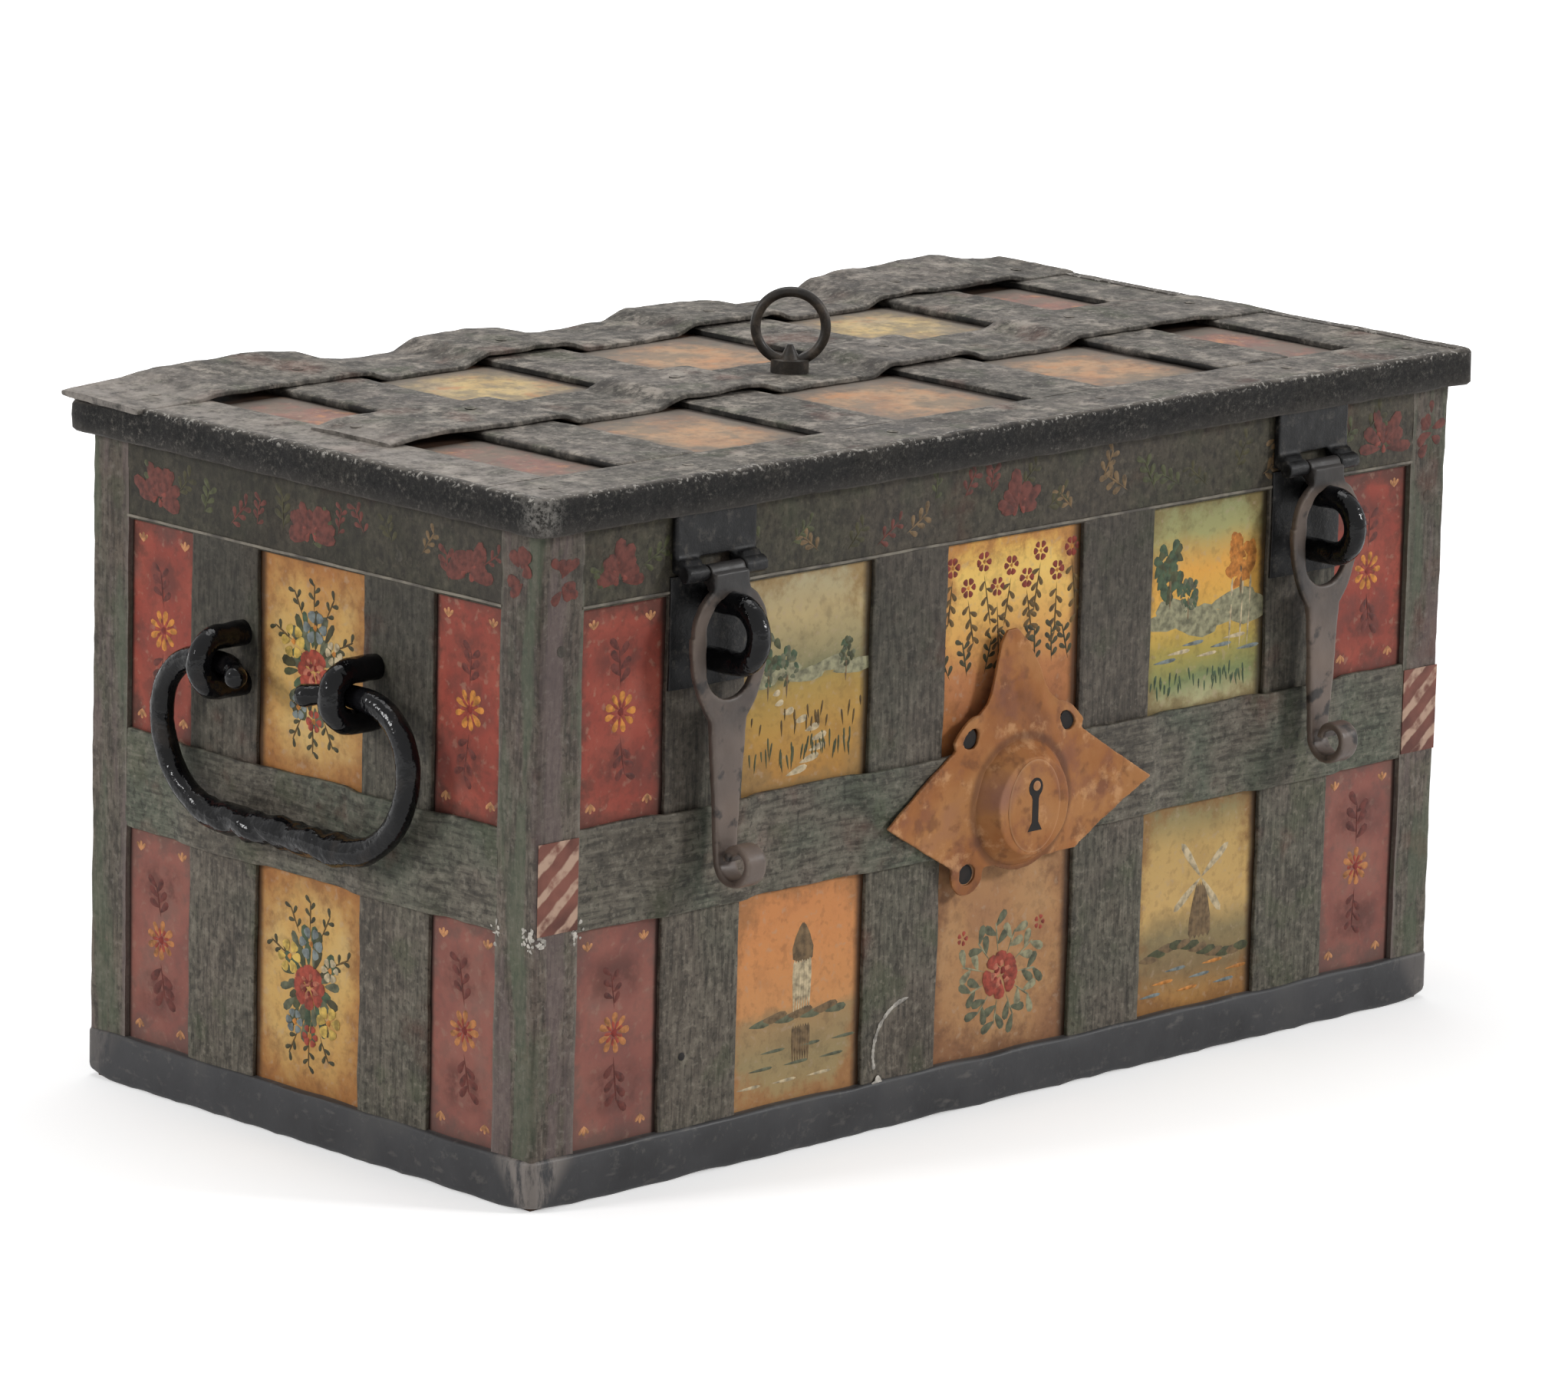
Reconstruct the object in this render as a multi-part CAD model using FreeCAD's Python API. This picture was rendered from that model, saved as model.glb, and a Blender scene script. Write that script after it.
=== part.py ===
import FreeCAD, Part
import math
import os

Vector = FreeCAD.Vector
os.makedirs("parts", exist_ok=True)

# The iron box, over its straps. The walls end at the underside of the lid plate.
length = 560.0
depth = 284.0
height = 296.0
sheet_thickness = 2.5
strap_thickness = 3.0
floor_thickness = 3.0
floor_flange_height = 17.0
rim_width = 24.0
rim_thickness = 3.0

# Straps and bands on the four walls.
corner_leg = 24.0
base_band_height = 22.0
base_band_swell = 1.0
top_band_height = 44.0
middle_band_width = 44.0
middle_band_share = 0.466
front_upright_width = 45.0
end_upright_width = 43.0
front_upright_shares = (0.115, 0.33)
end_upright_shares = (0.194,)
wall_ramp_share = 0.16

# Rivets, flush outside and headed inside.
rivet_radius = 2.5
rivet_head_radius = 5.0
rivet_head_height = 1.5
rivet_inset = 12.0
side_rivet_shares = (0.16, 0.42, 0.8)
end_rivet_shares = (0.22, 0.54, 0.86)

# Lid: plate, edge bars, flat cross straps, and long strips that bow over them.
lid_overhang = 8.0
lid_plate_thickness = 3.0
edge_thickness = 4.0
edge_drop = 9.0
border_width = 40.0
cross_thickness = 4.0
long_thickness = 3.0
middle_strip_width = 50.0
back_strip_width = 50.0
lid_ramp_share = 0.4

# Two strap hinges behind the lid.
hinge_knuckle_radius = 6.0
hinge_pin_radius = 3.0
hinge_gap = 1.0
hinge_leaf_drop_share = 0.35
pin_clearance = 0.05
running_clearance = 0.3

# Drop handles on the ends.
handle_height_share = 0.69
handle_standoff = 14.0
handle_bar_radius = 6.0
handle_half_width_share = 0.2764
handle_end_share = 0.1056
handle_staple_share = 0.148
handle_upper_radius = 27.0
handle_lower_radius = 40.0
handle_knob_radius = 8.5
handle_staple_radius = 4.5
staple_tail = 6.0

# Hasps hung from the lid, and their staples.
hasp_axis_drop = 34.0
hasp_axis_offset = 8.5
hasp_knuckle_radius = 5.0
hasp_pin_radius = 2.5
hasp_leaf_width = 46.0
hasp_leaf_gap = 1.0
hasp_tongue_width = 20.0
hasp_thickness = 3.5
hasp_width = 44.0
hasp_eye_width = 28.0
hasp_eye_height = 44.0
hasp_eye_drop = 10.0
hasp_shoulder_drop = 30.0
hasp_neck_drop = 63.0
hasp_tail_width = 20.0
hasp_tail_drop = 122.0
scroll_width = 11.0
scroll_radius = 11.0
scroll_inner_radius = 8.0
hasp_staple_radius = 3.5
hasp_staple_bend = 11.5
hasp_staple_drop = 26.0
hasp_staple_proud = 1.0

# Escutcheon on the front.
escutcheon_height_share = 0.456
escutcheon_thickness = 2.0
escutcheon_reach = 82.0
escutcheon_arm_root = 37.0
escutcheon_arm_rise = 29.0
escutcheon_arm_drop = 26.0
escutcheon_spire = 78.0
spire_edge_shares = ((0.05, 0.99), (0.13, 0.92), (0.19, 0.82), (0.28, 0.64), (0.38, 0.53))
escutcheon_disc_radius = 30.0
lobe_radius = 9.5
lobe_hole_radius = 4.5
lobe_out = 30.5
upper_lobe_rise = 32.0
lower_lobe_drop = 28.0
boss_base_radius = 29.0
boss_face_radius = 21.5
boss_height = 10.0
boss_stem_radius = 6.0
keyhole_radius = 4.0
keyhole_slot_width = 5.0
keyhole_slot_length = 16.0
keyhole_depth = 6.0

# Lock under the lid: key, scroll disc and four bolts.
key_rest_angle = -45.0
key_turn = 80.0
key_stem_radius = 4.5
key_collar_radius = 8.5
key_collar_height = 6.0
key_bow_radius = 15.5
key_bow_bar_radius = 2.3
key_bow_sink = 3.5
key_cusp_height = 6.5
key_bit_reach = 17.0
key_bit_thickness = 4.0
key_bit_height = 11.0
key_stem_tail = 2.0
lock_plate_thickness = 3.5
lock_plate_margin = 4.5
bolt_thickness = 7.0
bolt_width = 16.0
bolt_throw = 14.0
bolt_tip_clearance = 2.0
bolt_start = 20.0
bolt_pin_place = 27.0
bolt_pin_radius = 3.0
slot_clearance = 0.4
keeper_gap = 2.3
bolt_bar_width = 12.0
bolt_head_share = 0.52
bolt_head_width = 22.0
disc_thickness = 4.0
disc_margin = 4.5
hub_radius = 11.0
hub_height = 1.7
bridge_thickness = 3.0
bridge_width = 22.0
bridge_foot = 8.0
keeper_wall = 3.0
keeper_length = 8.0
keeper_inset = 7.0
end_keeper_share = 0.56

half_length = length / 2
half_depth = depth / 2
lid_x = half_length + lid_overhang
lid_y = half_depth + lid_overhang
lid_top = height + lid_plate_thickness
cross_top = lid_top + cross_thickness
edge_low = height - edge_drop
middle_band_low = height * middle_band_share - middle_band_width / 2
middle_band_high = middle_band_low + middle_band_width
upright_high = height - top_band_height
inner_x = half_length - strap_thickness - sheet_thickness
inner_y = half_depth - strap_thickness - sheet_thickness
rim_x = inner_x - rim_width
rim_y = inner_y - rim_width
inner_upright, outer_upright = (share * length for share in front_upright_shares)
handle_half_width = depth * handle_half_width_share
handle_end = depth * handle_end_share
handle_staple_place = depth * handle_staple_share


def block(x, y, z):
    return Part.makeBox(x[1] - x[0], y[1] - y[0], z[1] - z[0], Vector(x[0], y[0], z[0]))


def rod(radius, start, end):
    way = end - start
    return Part.makeCylinder(radius, way.Length, start, way)


def prism(points, way):
    wire = Part.makePolygon([*points, points[0]])
    return Part.Face(wire).extrude(way)


def pipe(edges, radius):
    path = Part.Wire(edges)
    first = edges[0]
    start = first.valueAt(first.FirstParameter)
    ring = Part.Wire(Part.makeCircle(radius, start, first.tangentAt(first.FirstParameter)))
    return path.makePipeShell([ring], True, False)


def join(shapes):
    first, *rest = shapes
    return first.fuse(rest).removeSplitter() if rest else first


def meets(one, other):
    return one.BoundBox.intersect(other.BoundBox)


def drilled(shape, holes):
    near = [hole for hole in holes if meets(shape, hole)]
    return shape.cut(near) if near else shape


def turned(shape, degrees):
    copy = shape.copy()
    copy.rotate(Vector(), Vector(0, 0, 1), degrees)
    return copy


def moved(shape, x):
    copy = shape.copy()
    copy.translate(Vector(x, 0, 0))
    return copy


def save(name, *solids):
    shape = solids[0] if len(solids) == 1 else Part.makeCompound(list(solids))
    if not shape.isValid() or len(shape.Solids) != len(solids):
        raise ValueError(f"{name} has {len(shape.Solids)} solids")
    shape.exportStep(os.path.join("parts", name + ".step"))


# A strip's run along a wall or the lid: low between crossings, lifted over each one.
def woven_run(half_span, crossings, lift, ramp_share):
    gaps = [b[0] - b[1] - a[0] - a[1] for a, b in zip(crossings, crossings[1:])]
    ramp = ramp_share * min(gaps)
    run = []
    for centre, half_width in crossings:
        left, right = centre - half_width, centre + half_width
        run += [(left - ramp, 0.0), (left, lift), (right, lift), (right + ramp, 0.0)]
    inside = [(s, h) for s, h in run if abs(s) < half_span]
    end_lift = lift if run[1][0] <= -half_span else 0.0
    return [(-half_span, end_lift), *inside, (half_span, end_lift)]


# Walls are drawn as the front wall, facing -Y, and turned into place about the middle of the box.
walls = {
    "front": (0, half_depth, half_length, front_upright_shares, front_upright_width),
    "right_end": (90, half_length, half_depth, end_upright_shares, end_upright_width),
    "back": (180, half_depth, half_length, front_upright_shares, front_upright_width),
    "left_end": (270, half_length, half_depth, end_upright_shares, end_upright_width),
}
handle_z = height * handle_height_share
hasp_axis_z = height - hasp_axis_drop
hasp_axis_y = -(half_depth + hasp_axis_offset)
hasp_back_y = hasp_axis_y - hasp_pin_radius
hasp_front_y = hasp_back_y - hasp_thickness
hasp_staple_z = hasp_axis_z - hasp_staple_drop
escutcheon_z = height * escutcheon_height_share
hinge_leaf_low = height * (1 - hinge_leaf_drop_share)
handle_staple_bend = handle_bar_radius + running_clearance + handle_staple_radius

rivets, holes, base_bands, top_bands = [], [], [], []
pieces = {}
for wall, (turn, reach, span, shares, width) in walls.items():
    along = wall in ("front", "back")
    face = reach - strap_thickness
    back = face - sheet_thickness
    sheet_span = span - strap_thickness - (0 if along else sheet_thickness)
    band_span = span - corner_leg
    centres = sorted(side * share * 2 * span for share in shares for side in (-1, 1))
    outermost = max(centres)
    places = []
    for centre in centres:
        leaf = strap_thickness if wall == "back" and abs(centre) == outermost else 0
        stapled = wall == "front" and abs(centre) == outermost
        places.append((centre, base_band_height + rivet_inset, reach, back))
        places.append((centre, height * middle_band_share, reach + strap_thickness, back))
        if not stapled:
            places.append((centre, upright_high - rivet_inset, reach + leaf, back))
        places.append((centre, upright_high + rivet_inset, reach + leaf, back))
        base_z = (floor_thickness + base_band_height) / 2
        places.append((centre, base_z, reach + base_band_swell, back - sheet_thickness))
    for side in (-1, 1):
        places.append((side * (band_span - rivet_inset), height * middle_band_share, reach, back))
        for share in side_rivet_shares if along else end_rivet_shares:
            places.append((side * (span - corner_leg / 2), height * share, reach, back))
    pegs, bores = [], []
    for s, z, outer, inner in places:
        shank = rod(rivet_radius, Vector(s, -outer, z), Vector(s, -inner, z))
        head_end = Vector(s, -(inner - rivet_head_height), z)
        head = rod(rivet_head_radius, Vector(s, -inner, z), head_end)
        pegs.append(join([shank, head]))
        bores.append(shank)
    if wall == "front":
        for x in (-outer_upright, outer_upright):
            for side in (-1, 1):
                z = hasp_staple_z + side * hasp_staple_bend
                bores.append(rod(hasp_staple_radius, Vector(x, -reach, z), Vector(x, -back, z)))
        stem = Vector(0, -reach, escutcheon_z), Vector(0, -back, escutcheon_z)
        bores.append(rod(boss_stem_radius, *stem))
    if not along:
        for s in (-handle_staple_place, handle_staple_place):
            for side in (-1, 1):
                z = handle_z + side * handle_staple_bend
                bores.append(rod(handle_staple_radius, Vector(s, -reach, z), Vector(s, -back, z)))
    sheet = block((-sheet_span, sheet_span), (-face, -back), (0, height))
    uprights = [
        block((c - width / 2, c + width / 2), (-reach, -face), (base_band_height, upright_high))
        for c in centres
    ]
    run = woven_run(band_span, [(c, width / 2) for c in centres], strap_thickness, wall_ramp_share)
    under = [Vector(s, -(face + lift), middle_band_low) for s, lift in run]
    over = [Vector(s, -(reach + lift), middle_band_low) for s, lift in reversed(run)]
    middle = prism(under + over, Vector(0, 0, middle_band_width))
    base = block(
        (-band_span, band_span), (-(reach + base_band_swell), -face), (0, base_band_height)
    )
    top = block((-band_span, band_span), (-reach, -face), (upright_high, height))
    pieces[wall + "_sheet"] = [turned(drilled(sheet, bores), turn)]
    pieces[wall + "_uprights"] = [turned(drilled(u, bores), turn) for u in uprights]
    pieces[wall + "_middle_band"] = [turned(drilled(middle, bores), turn)]
    base_bands.append(turned(drilled(base, bores), turn))
    top_bands.append(turned(drilled(top, bores), turn))
    rivets += [turned(peg, turn) for peg in pegs]
    holes += [turned(bore, turn) for bore in bores]

for name, solids in pieces.items():
    save(name, *solids)
save("base_bands", *base_bands)
save("top_bands", *top_bands)
save("wall_rivets", *rivets)

# Corner angles run the full height and hold the sheets together.
leg_x, leg_y = half_length - corner_leg, half_depth - corner_leg
skin_x, skin_y = half_length - strap_thickness, half_depth - strap_thickness
for name, sx, sy in (
    ("front_left", -1, -1), ("front_right", 1, -1), ("back_right", 1, 1), ("back_left", -1, 1)
):
    ring = [
        (half_length, half_depth), (leg_x, half_depth), (leg_x, skin_y),
        (skin_x, skin_y), (skin_x, leg_y), (half_length, leg_y),
    ]
    angle = prism([Vector(sx * x, sy * y, 0) for x, y in ring], Vector(0, 0, height))
    save(name + "_corner_angle", drilled(angle, holes))

# Floor, the flanges that rivet it in, and the turned-in rim that the bolts catch under.
save("floor_plate", block((-inner_x, inner_x), (-inner_y, inner_y), (0, floor_thickness)))
flange_z = (floor_thickness, floor_thickness + floor_flange_height)
rim_z = (height - rim_thickness, height)
flanges, rims = [], []
for sign in (-1, 1):
    y_flange = sorted((sign * inner_y, sign * (inner_y - sheet_thickness)))
    x_flange = sorted((sign * inner_x, sign * (inner_x - sheet_thickness)))
    clear_y = inner_y - sheet_thickness
    flanges.append(drilled(block((-inner_x, inner_x), y_flange, flange_z), holes + rivets))
    flanges.append(drilled(block(x_flange, (-clear_y, clear_y), flange_z), holes + rivets))
    rims.append(block((-inner_x, inner_x), sorted((sign * inner_y, sign * rim_y)), rim_z))
    rims.append(block(sorted((sign * inner_x, sign * rim_x)), (-rim_y, rim_y), rim_z))
save("floor_flanges", *flanges)
save("rim_bars", *rims)


# Drop handle and its two staples, drawn on the front and turned to each end.
axis_y = -(half_length + handle_standoff)
lower_z = handle_z - handle_upper_radius - handle_lower_radius
shoulder_s = handle_half_width - handle_upper_radius
foot_s = handle_half_width - handle_lower_radius
waist_z = handle_z - handle_upper_radius


def bend(centre_s, centre_z, radius, start, end):
    points = []
    for angle in (start, (start + end) / 2, end):
        turn = math.radians(angle)
        s, z = centre_s + radius * math.cos(turn), centre_z + radius * math.sin(turn)
        points.append(Vector(s, axis_y, z))
    return Part.Arc(*points).toShape()


bail = pipe(
    [
        Part.makeLine(Vector(-handle_end, axis_y, handle_z), Vector(-shoulder_s, axis_y, handle_z)),
        bend(-shoulder_s, waist_z, handle_upper_radius, 90, 180),
        bend(-foot_s, waist_z, handle_lower_radius, 180, 270),
        Part.makeLine(Vector(-foot_s, axis_y, lower_z), Vector(foot_s, axis_y, lower_z)),
        bend(foot_s, waist_z, handle_lower_radius, 270, 360),
        bend(shoulder_s, waist_z, handle_upper_radius, 0, 90),
        Part.makeLine(Vector(shoulder_s, axis_y, handle_z), Vector(handle_end, axis_y, handle_z)),
    ],
    handle_bar_radius,
)
knobs = [
    Part.makeSphere(handle_knob_radius, Vector(side * handle_end, axis_y, handle_z))
    for side in (-1, 1)
]
bail = join([bail, *knobs])


# A staple: two legs driven through the wall and a half-round bend outside.
def staple(x, bend_y, z, tail_y, bend_radius, radius):
    high, low = z + bend_radius, z - bend_radius
    legs = [(Vector(x, tail_y, high), Vector(x, bend_y, high))]
    legs.append((Vector(x, bend_y, low), Vector(x, tail_y, low)))
    crown = Part.Arc(legs[0][1], Vector(x, bend_y - bend_radius, z), legs[1][0]).toShape()
    return pipe([Part.makeLine(*legs[0]), crown, Part.makeLine(*legs[1])], radius)


handle_tail_y = -(inner_x - staple_tail)
handle_staples = [
    staple(s, axis_y, handle_z, handle_tail_y, handle_staple_bend, handle_staple_radius)
    for s in (-handle_staple_place, handle_staple_place)
]
for name, turn in (("left", 270), ("right", 90)):
    save(name + "_handle", turned(bail, turn))
    save(name + "_handle_staples", *(turned(s, turn) for s in handle_staples))

# Hasp hinge leaf behind the lid's front edge, with two knuckles.
x_line = Vector(1, 0, 0)
leaf_half = hasp_leaf_width / 2
tongue_half = hasp_tongue_width / 2
leaf_y = (-(lid_y - edge_thickness), -(half_depth + hasp_leaf_gap))
leaf_low = hasp_axis_z + hasp_knuckle_radius + 2 * running_clearance
hasp_axis = Vector(0, hasp_axis_y, hasp_axis_z)
leaf_parts = [block((-leaf_half, leaf_half), leaf_y, (leaf_low, height))]
for side in (-1, 1):
    x_knuckle = sorted((side * (tongue_half + running_clearance), side * leaf_half))
    knuckle_y = (hasp_axis_y, leaf_y[1])
    leaf_parts.append(block(x_knuckle, knuckle_y, (hasp_axis_z, leaf_low)))
    ends = (hasp_axis + x_line * x for x in x_knuckle)
    leaf_parts.append(rod(hasp_knuckle_radius, *ends))
hasp_pin = rod(hasp_pin_radius, hasp_axis - x_line * leaf_half, hasp_axis + x_line * leaf_half)
hasp_leaf = join(leaf_parts).cut(hasp_pin)

# Hasp: knuckle, plate with a tall eye, neck, tail, and a scroll rolled outward.
plate_top = hasp_axis_z - hasp_knuckle_radius
hw, tw, cw = hasp_width / 2, hasp_tail_width / 2, scroll_width / 2
shoulder_z = hasp_axis_z - hasp_shoulder_drop
neck_z = hasp_axis_z - hasp_neck_drop
tail_z = hasp_axis_z - hasp_tail_drop
side_run = [(hw, shoulder_z), ((3 * hw + tw) / 4, (shoulder_z + neck_z) / 2), (tw, neck_z)]


def flank(sign):
    curve = Part.BSplineCurve()
    points = [Vector(sign * x, hasp_back_y, z) for x, z in side_run]
    curve.interpolate(points[::sign])
    return curve.toShape()


def side_line(a, b):
    return Part.makeLine(Vector(a[0], hasp_back_y, a[1]), Vector(b[0], hasp_back_y, b[1]))


outline = Part.Wire([
    side_line((-hw, plate_top), (hw, plate_top)), side_line((hw, plate_top), (hw, shoulder_z)),
    flank(1), side_line((tw, neck_z), (cw, tail_z)), side_line((cw, tail_z), (-cw, tail_z)),
    side_line((-cw, tail_z), (-tw, neck_z)), flank(-1),
    side_line((-hw, shoulder_z), (-hw, plate_top)),
])
hasp_plate = Part.Face(outline).extrude(Vector(0, -hasp_thickness, 0))
eye_high, eye_radius = hasp_axis_z - hasp_eye_drop, hasp_eye_width / 2
eye_low = eye_high - hasp_eye_height
eye_z = (eye_low + eye_radius, eye_high - eye_radius)
eye_y = (hasp_front_y, hasp_back_y)
eye = join(
    [block((-eye_radius, eye_radius), eye_y, eye_z)]
    + [rod(eye_radius, Vector(0, eye_y[0], z), Vector(0, eye_y[1], z)) for z in eye_z]
)
tongue_y = (hasp_front_y, hasp_axis_y)
tongue_z = (plate_top - hasp_knuckle_radius / 2, hasp_axis_z)
tongue = block((-tongue_half, tongue_half), tongue_y, tongue_z)
tongue_eye = rod(
    hasp_knuckle_radius, hasp_axis - x_line * tongue_half, hasp_axis + x_line * tongue_half
)
hasp_bore = rod(
    hasp_pin_radius + pin_clearance, hasp_axis - x_line * leaf_half, hasp_axis + x_line * leaf_half
)


# Half of a rolled turn of the scroll, below or above the level of its centre.
def half_turn(centre_y, radius, below):
    start = Vector(-cw, centre_y, tail_z)
    end = Vector(cw, centre_y, tail_z)
    ring = rod(radius, start, end).cut(rod(radius - hasp_thickness, start, end))
    z_range = (tail_z - radius, tail_z) if below else (tail_z, tail_z + radius)
    return ring.common(block((-cw, cw), (centre_y - radius, centre_y + radius), z_range))


first_y = hasp_back_y - scroll_radius
second_y = first_y - scroll_radius + scroll_inner_radius
scroll = [half_turn(first_y, scroll_radius, True), half_turn(second_y, scroll_inner_radius, False)]
hasp = join([hasp_plate.cut(eye), tongue, tongue_eye, *scroll]).cut(hasp_bore)
hasp_bend_y = hasp_front_y - hasp_staple_proud + hasp_staple_bend + hasp_staple_radius
hasp_staple = staple(
    0, hasp_bend_y, hasp_staple_z, -(inner_y - staple_tail), hasp_staple_bend, hasp_staple_radius
)
hasp_pins = []
for name, x in (("left", -outer_upright), ("right", outer_upright)):
    save(name + "_hasp_leaf", moved(hasp_leaf, x))
    save(name + "_hasp", moved(hasp, x))
    save(name + "_hasp_staple", moved(hasp_staple, x))
    hasp_pins.append(moved(hasp_pin, x))
save("hasp_pins", *hasp_pins)

# Escutcheon: pierced plate with arms, spire and lobes, and a raised boss with a keyhole.
plate_y = -(half_depth + strap_thickness)
out = Vector(0, -escutcheon_thickness, 0)
middle = Vector(0, plate_y, escutcheon_z)


def on_plate(x, rise):
    return middle + Vector(x, 0, rise)


def disc_on_plate(x, rise, radius):
    return rod(radius, on_plate(x, rise), on_plate(x, rise) + out)


half_edge = [(x * escutcheon_spire, rise * escutcheon_spire) for x, rise in spire_edge_shares]
half_edge += [
    (escutcheon_arm_root, escutcheon_arm_rise), (escutcheon_reach, 0),
    (escutcheon_arm_root, -escutcheon_arm_drop),
]
star = prism(
    [on_plate(*point) for point in half_edge] + [on_plate(-x, rise) for x, rise in half_edge[::-1]], out
)
lobe_places = (
    (-lobe_out, upper_lobe_rise), (lobe_out, upper_lobe_rise), (-lobe_out, -lower_lobe_drop)
)
lobes = [disc_on_plate(x, rise, lobe_radius) for x, rise in lobe_places]
lobe_holes = [disc_on_plate(x, rise, lobe_hole_radius) for x, rise in lobe_places]
plate = join([disc_on_plate(0, 0, escutcheon_disc_radius), star, *lobes])
stem = rod(boss_stem_radius, Vector(0, -(inner_y - staple_tail), escutcheon_z), middle + out)
save("escutcheon_plate", plate.cut([*lobe_holes, stem]))
boss = Part.makeCone(boss_base_radius, boss_face_radius, boss_height, middle + out, out)
boss_front = plate_y - escutcheon_thickness - boss_height
keyhole_y = (boss_front, boss_front + keyhole_depth)
keyhole_top = escutcheon_z + keyhole_slot_length / 2
keyhole = join([
    rod(keyhole_radius, Vector(0, keyhole_y[0], keyhole_top), Vector(0, keyhole_y[1], keyhole_top)),
    block((-keyhole_slot_width / 2, keyhole_slot_width / 2), keyhole_y,
          (keyhole_top - keyhole_slot_length, keyhole_top)),
])
save("escutcheon_boss", join([boss, stem]).cut(keyhole))

# Hinges: leaves riveted to the back straps, pins, and lid straps with a middle knuckle.
hinge_y = lid_y + hinge_knuckle_radius + hinge_gap
hinge_z = edge_low
hinge = Vector(0, hinge_y, hinge_z)
strap_half = front_upright_width / 2
third = front_upright_width / 6
hinge_pin = rod(hinge_pin_radius, hinge - x_line * strap_half, hinge + x_line * strap_half)
leaf_face = half_depth + strap_thickness
leaf_high = hinge_z - 2 * hinge_knuckle_radius
profile = [
    (half_depth, hinge_leaf_low), (leaf_face, hinge_leaf_low),
    (leaf_face, leaf_high - hinge_knuckle_radius), (hinge_y, hinge_z - hinge_knuckle_radius),
    (hinge_y - hinge_knuckle_radius / 2, hinge_z), (half_depth, leaf_high),
]
leaf = prism([Vector(-strap_half, y, z) for y, z in profile], x_line * front_upright_width)
for side in (-1, 1):
    ends = sorted((side * (third + running_clearance), side * strap_half))
    leaf = leaf.fuse(rod(hinge_knuckle_radius, *(hinge + x_line * x for x in ends)))
well = third + running_clearance
leaf_cutter = rod(hinge_knuckle_radius + hinge_gap, hinge - x_line * well, hinge + x_line * well)
leaf = leaf.cut([leaf_cutter, hinge_pin])
lid_strap_y = (-(lid_y - border_width), hinge_y)
tab_y = (hinge_y - cross_thickness, hinge_y)
tab_low = hinge_z + hinge_knuckle_radius + hinge_gap
lid_knuckle = rod(hinge_knuckle_radius, hinge - x_line * third, hinge + x_line * third)
hinge_strap = join([
    block((-strap_half, strap_half), lid_strap_y, (lid_top, cross_top)),
    block((-strap_half, strap_half), tab_y, (tab_low, cross_top)),
    block((-third, third), tab_y, (hinge_z, cross_top)),
    lid_knuckle,
])
hinge_bore = rod(
    hinge_pin_radius + pin_clearance, hinge - x_line * strap_half, hinge + x_line * strap_half
)
hinge_strap = hinge_strap.cut(hinge_bore)

# Lid rivets sit flush through every crossing.
strip_y = lid_y - back_strip_width / 2
front_strip_y = -(lid_y - (border_width + edge_thickness) / 2)
border_x = lid_x - border_width / 2
crossing_x = sorted(s * x for x in (inner_upright, outer_upright, border_x) for s in (-1, 1))
lid_rivets = []
for x in crossing_x:
    for y, top in (
        (front_strip_y, cross_top), (0, cross_top + long_thickness),
        (strip_y, cross_top + long_thickness),
    ):
        lid_rivets.append(rod(rivet_radius, Vector(x, y, height), Vector(x, y, top)))
save("lid_rivets", *lid_rivets)

# Keyhole through the middle strip, the plate and the lock plate.
key_turned = math.radians(key_rest_angle)
lock_low = height - lock_plate_thickness
bow_low = lid_top + long_thickness
keyway_z = (lock_low, bow_low)
keyway_gap = 2 * running_clearance
keyway_half = key_bit_thickness / 2 + keyway_gap
keyway = join([
    rod(key_stem_radius + keyway_gap, Vector(0, 0, keyway_z[0]), Vector(0, 0, keyway_z[1])),
    block((0, key_bit_reach + keyway_gap), (-keyway_half, keyway_half), keyway_z),
])
keyway = turned(keyway, key_rest_angle)

plate_x, plate_yy = lid_x - edge_thickness, lid_y - edge_thickness
lid_plate = block((-plate_x, plate_x), (-plate_yy, plate_yy), (height, lid_top))
save("lid_plate", drilled(lid_plate, [*lid_rivets, keyway]))
edges = [
    block((-lid_x, lid_x), (-lid_y, -plate_yy), (edge_low, cross_top)),
    block((-lid_x, lid_x), (plate_yy, lid_y), (edge_low, lid_top)),
    block((-lid_x, -plate_x), (-plate_yy, plate_yy), (edge_low, cross_top)),
    block((plate_x, lid_x), (-plate_yy, plate_yy), (edge_low, cross_top)),
]
save("lid_edge_bars", *edges)
cross_y = (-(lid_y - border_width), lid_y)
cross_z = (lid_top, cross_top)
front_strip = block((-plate_x, plate_x), (-plate_yy, cross_y[0]), cross_z)
save("lid_front_strip", drilled(front_strip, lid_rivets))
for name, x_range in (
    ("lid_left_border", (-plate_x, -(lid_x - border_width))),
    ("lid_right_border", (lid_x - border_width, plate_x)),
):
    save(name, drilled(block(x_range, cross_y, cross_z), lid_rivets))
inner_straps = [
    drilled(block((x - strap_half, x + strap_half), cross_y, cross_z), lid_rivets)
    for x in (-inner_upright, inner_upright)
]
save("lid_inner_straps", *inner_straps)
pins = []
for name, x in (("left", -outer_upright), ("right", outer_upright)):
    save(name + "_hinge_strap", drilled(moved(hinge_strap, x), lid_rivets))
    save(name + "_hinge_leaf", drilled(moved(leaf, x), rivets))
    pins.append(moved(hinge_pin, x))
save("hinge_pins", *pins)
bands = [(x, border_width / 2 if abs(x) == border_x else strap_half) for x in crossing_x]
run = woven_run(lid_x, bands, cross_thickness, lid_ramp_share)
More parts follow.
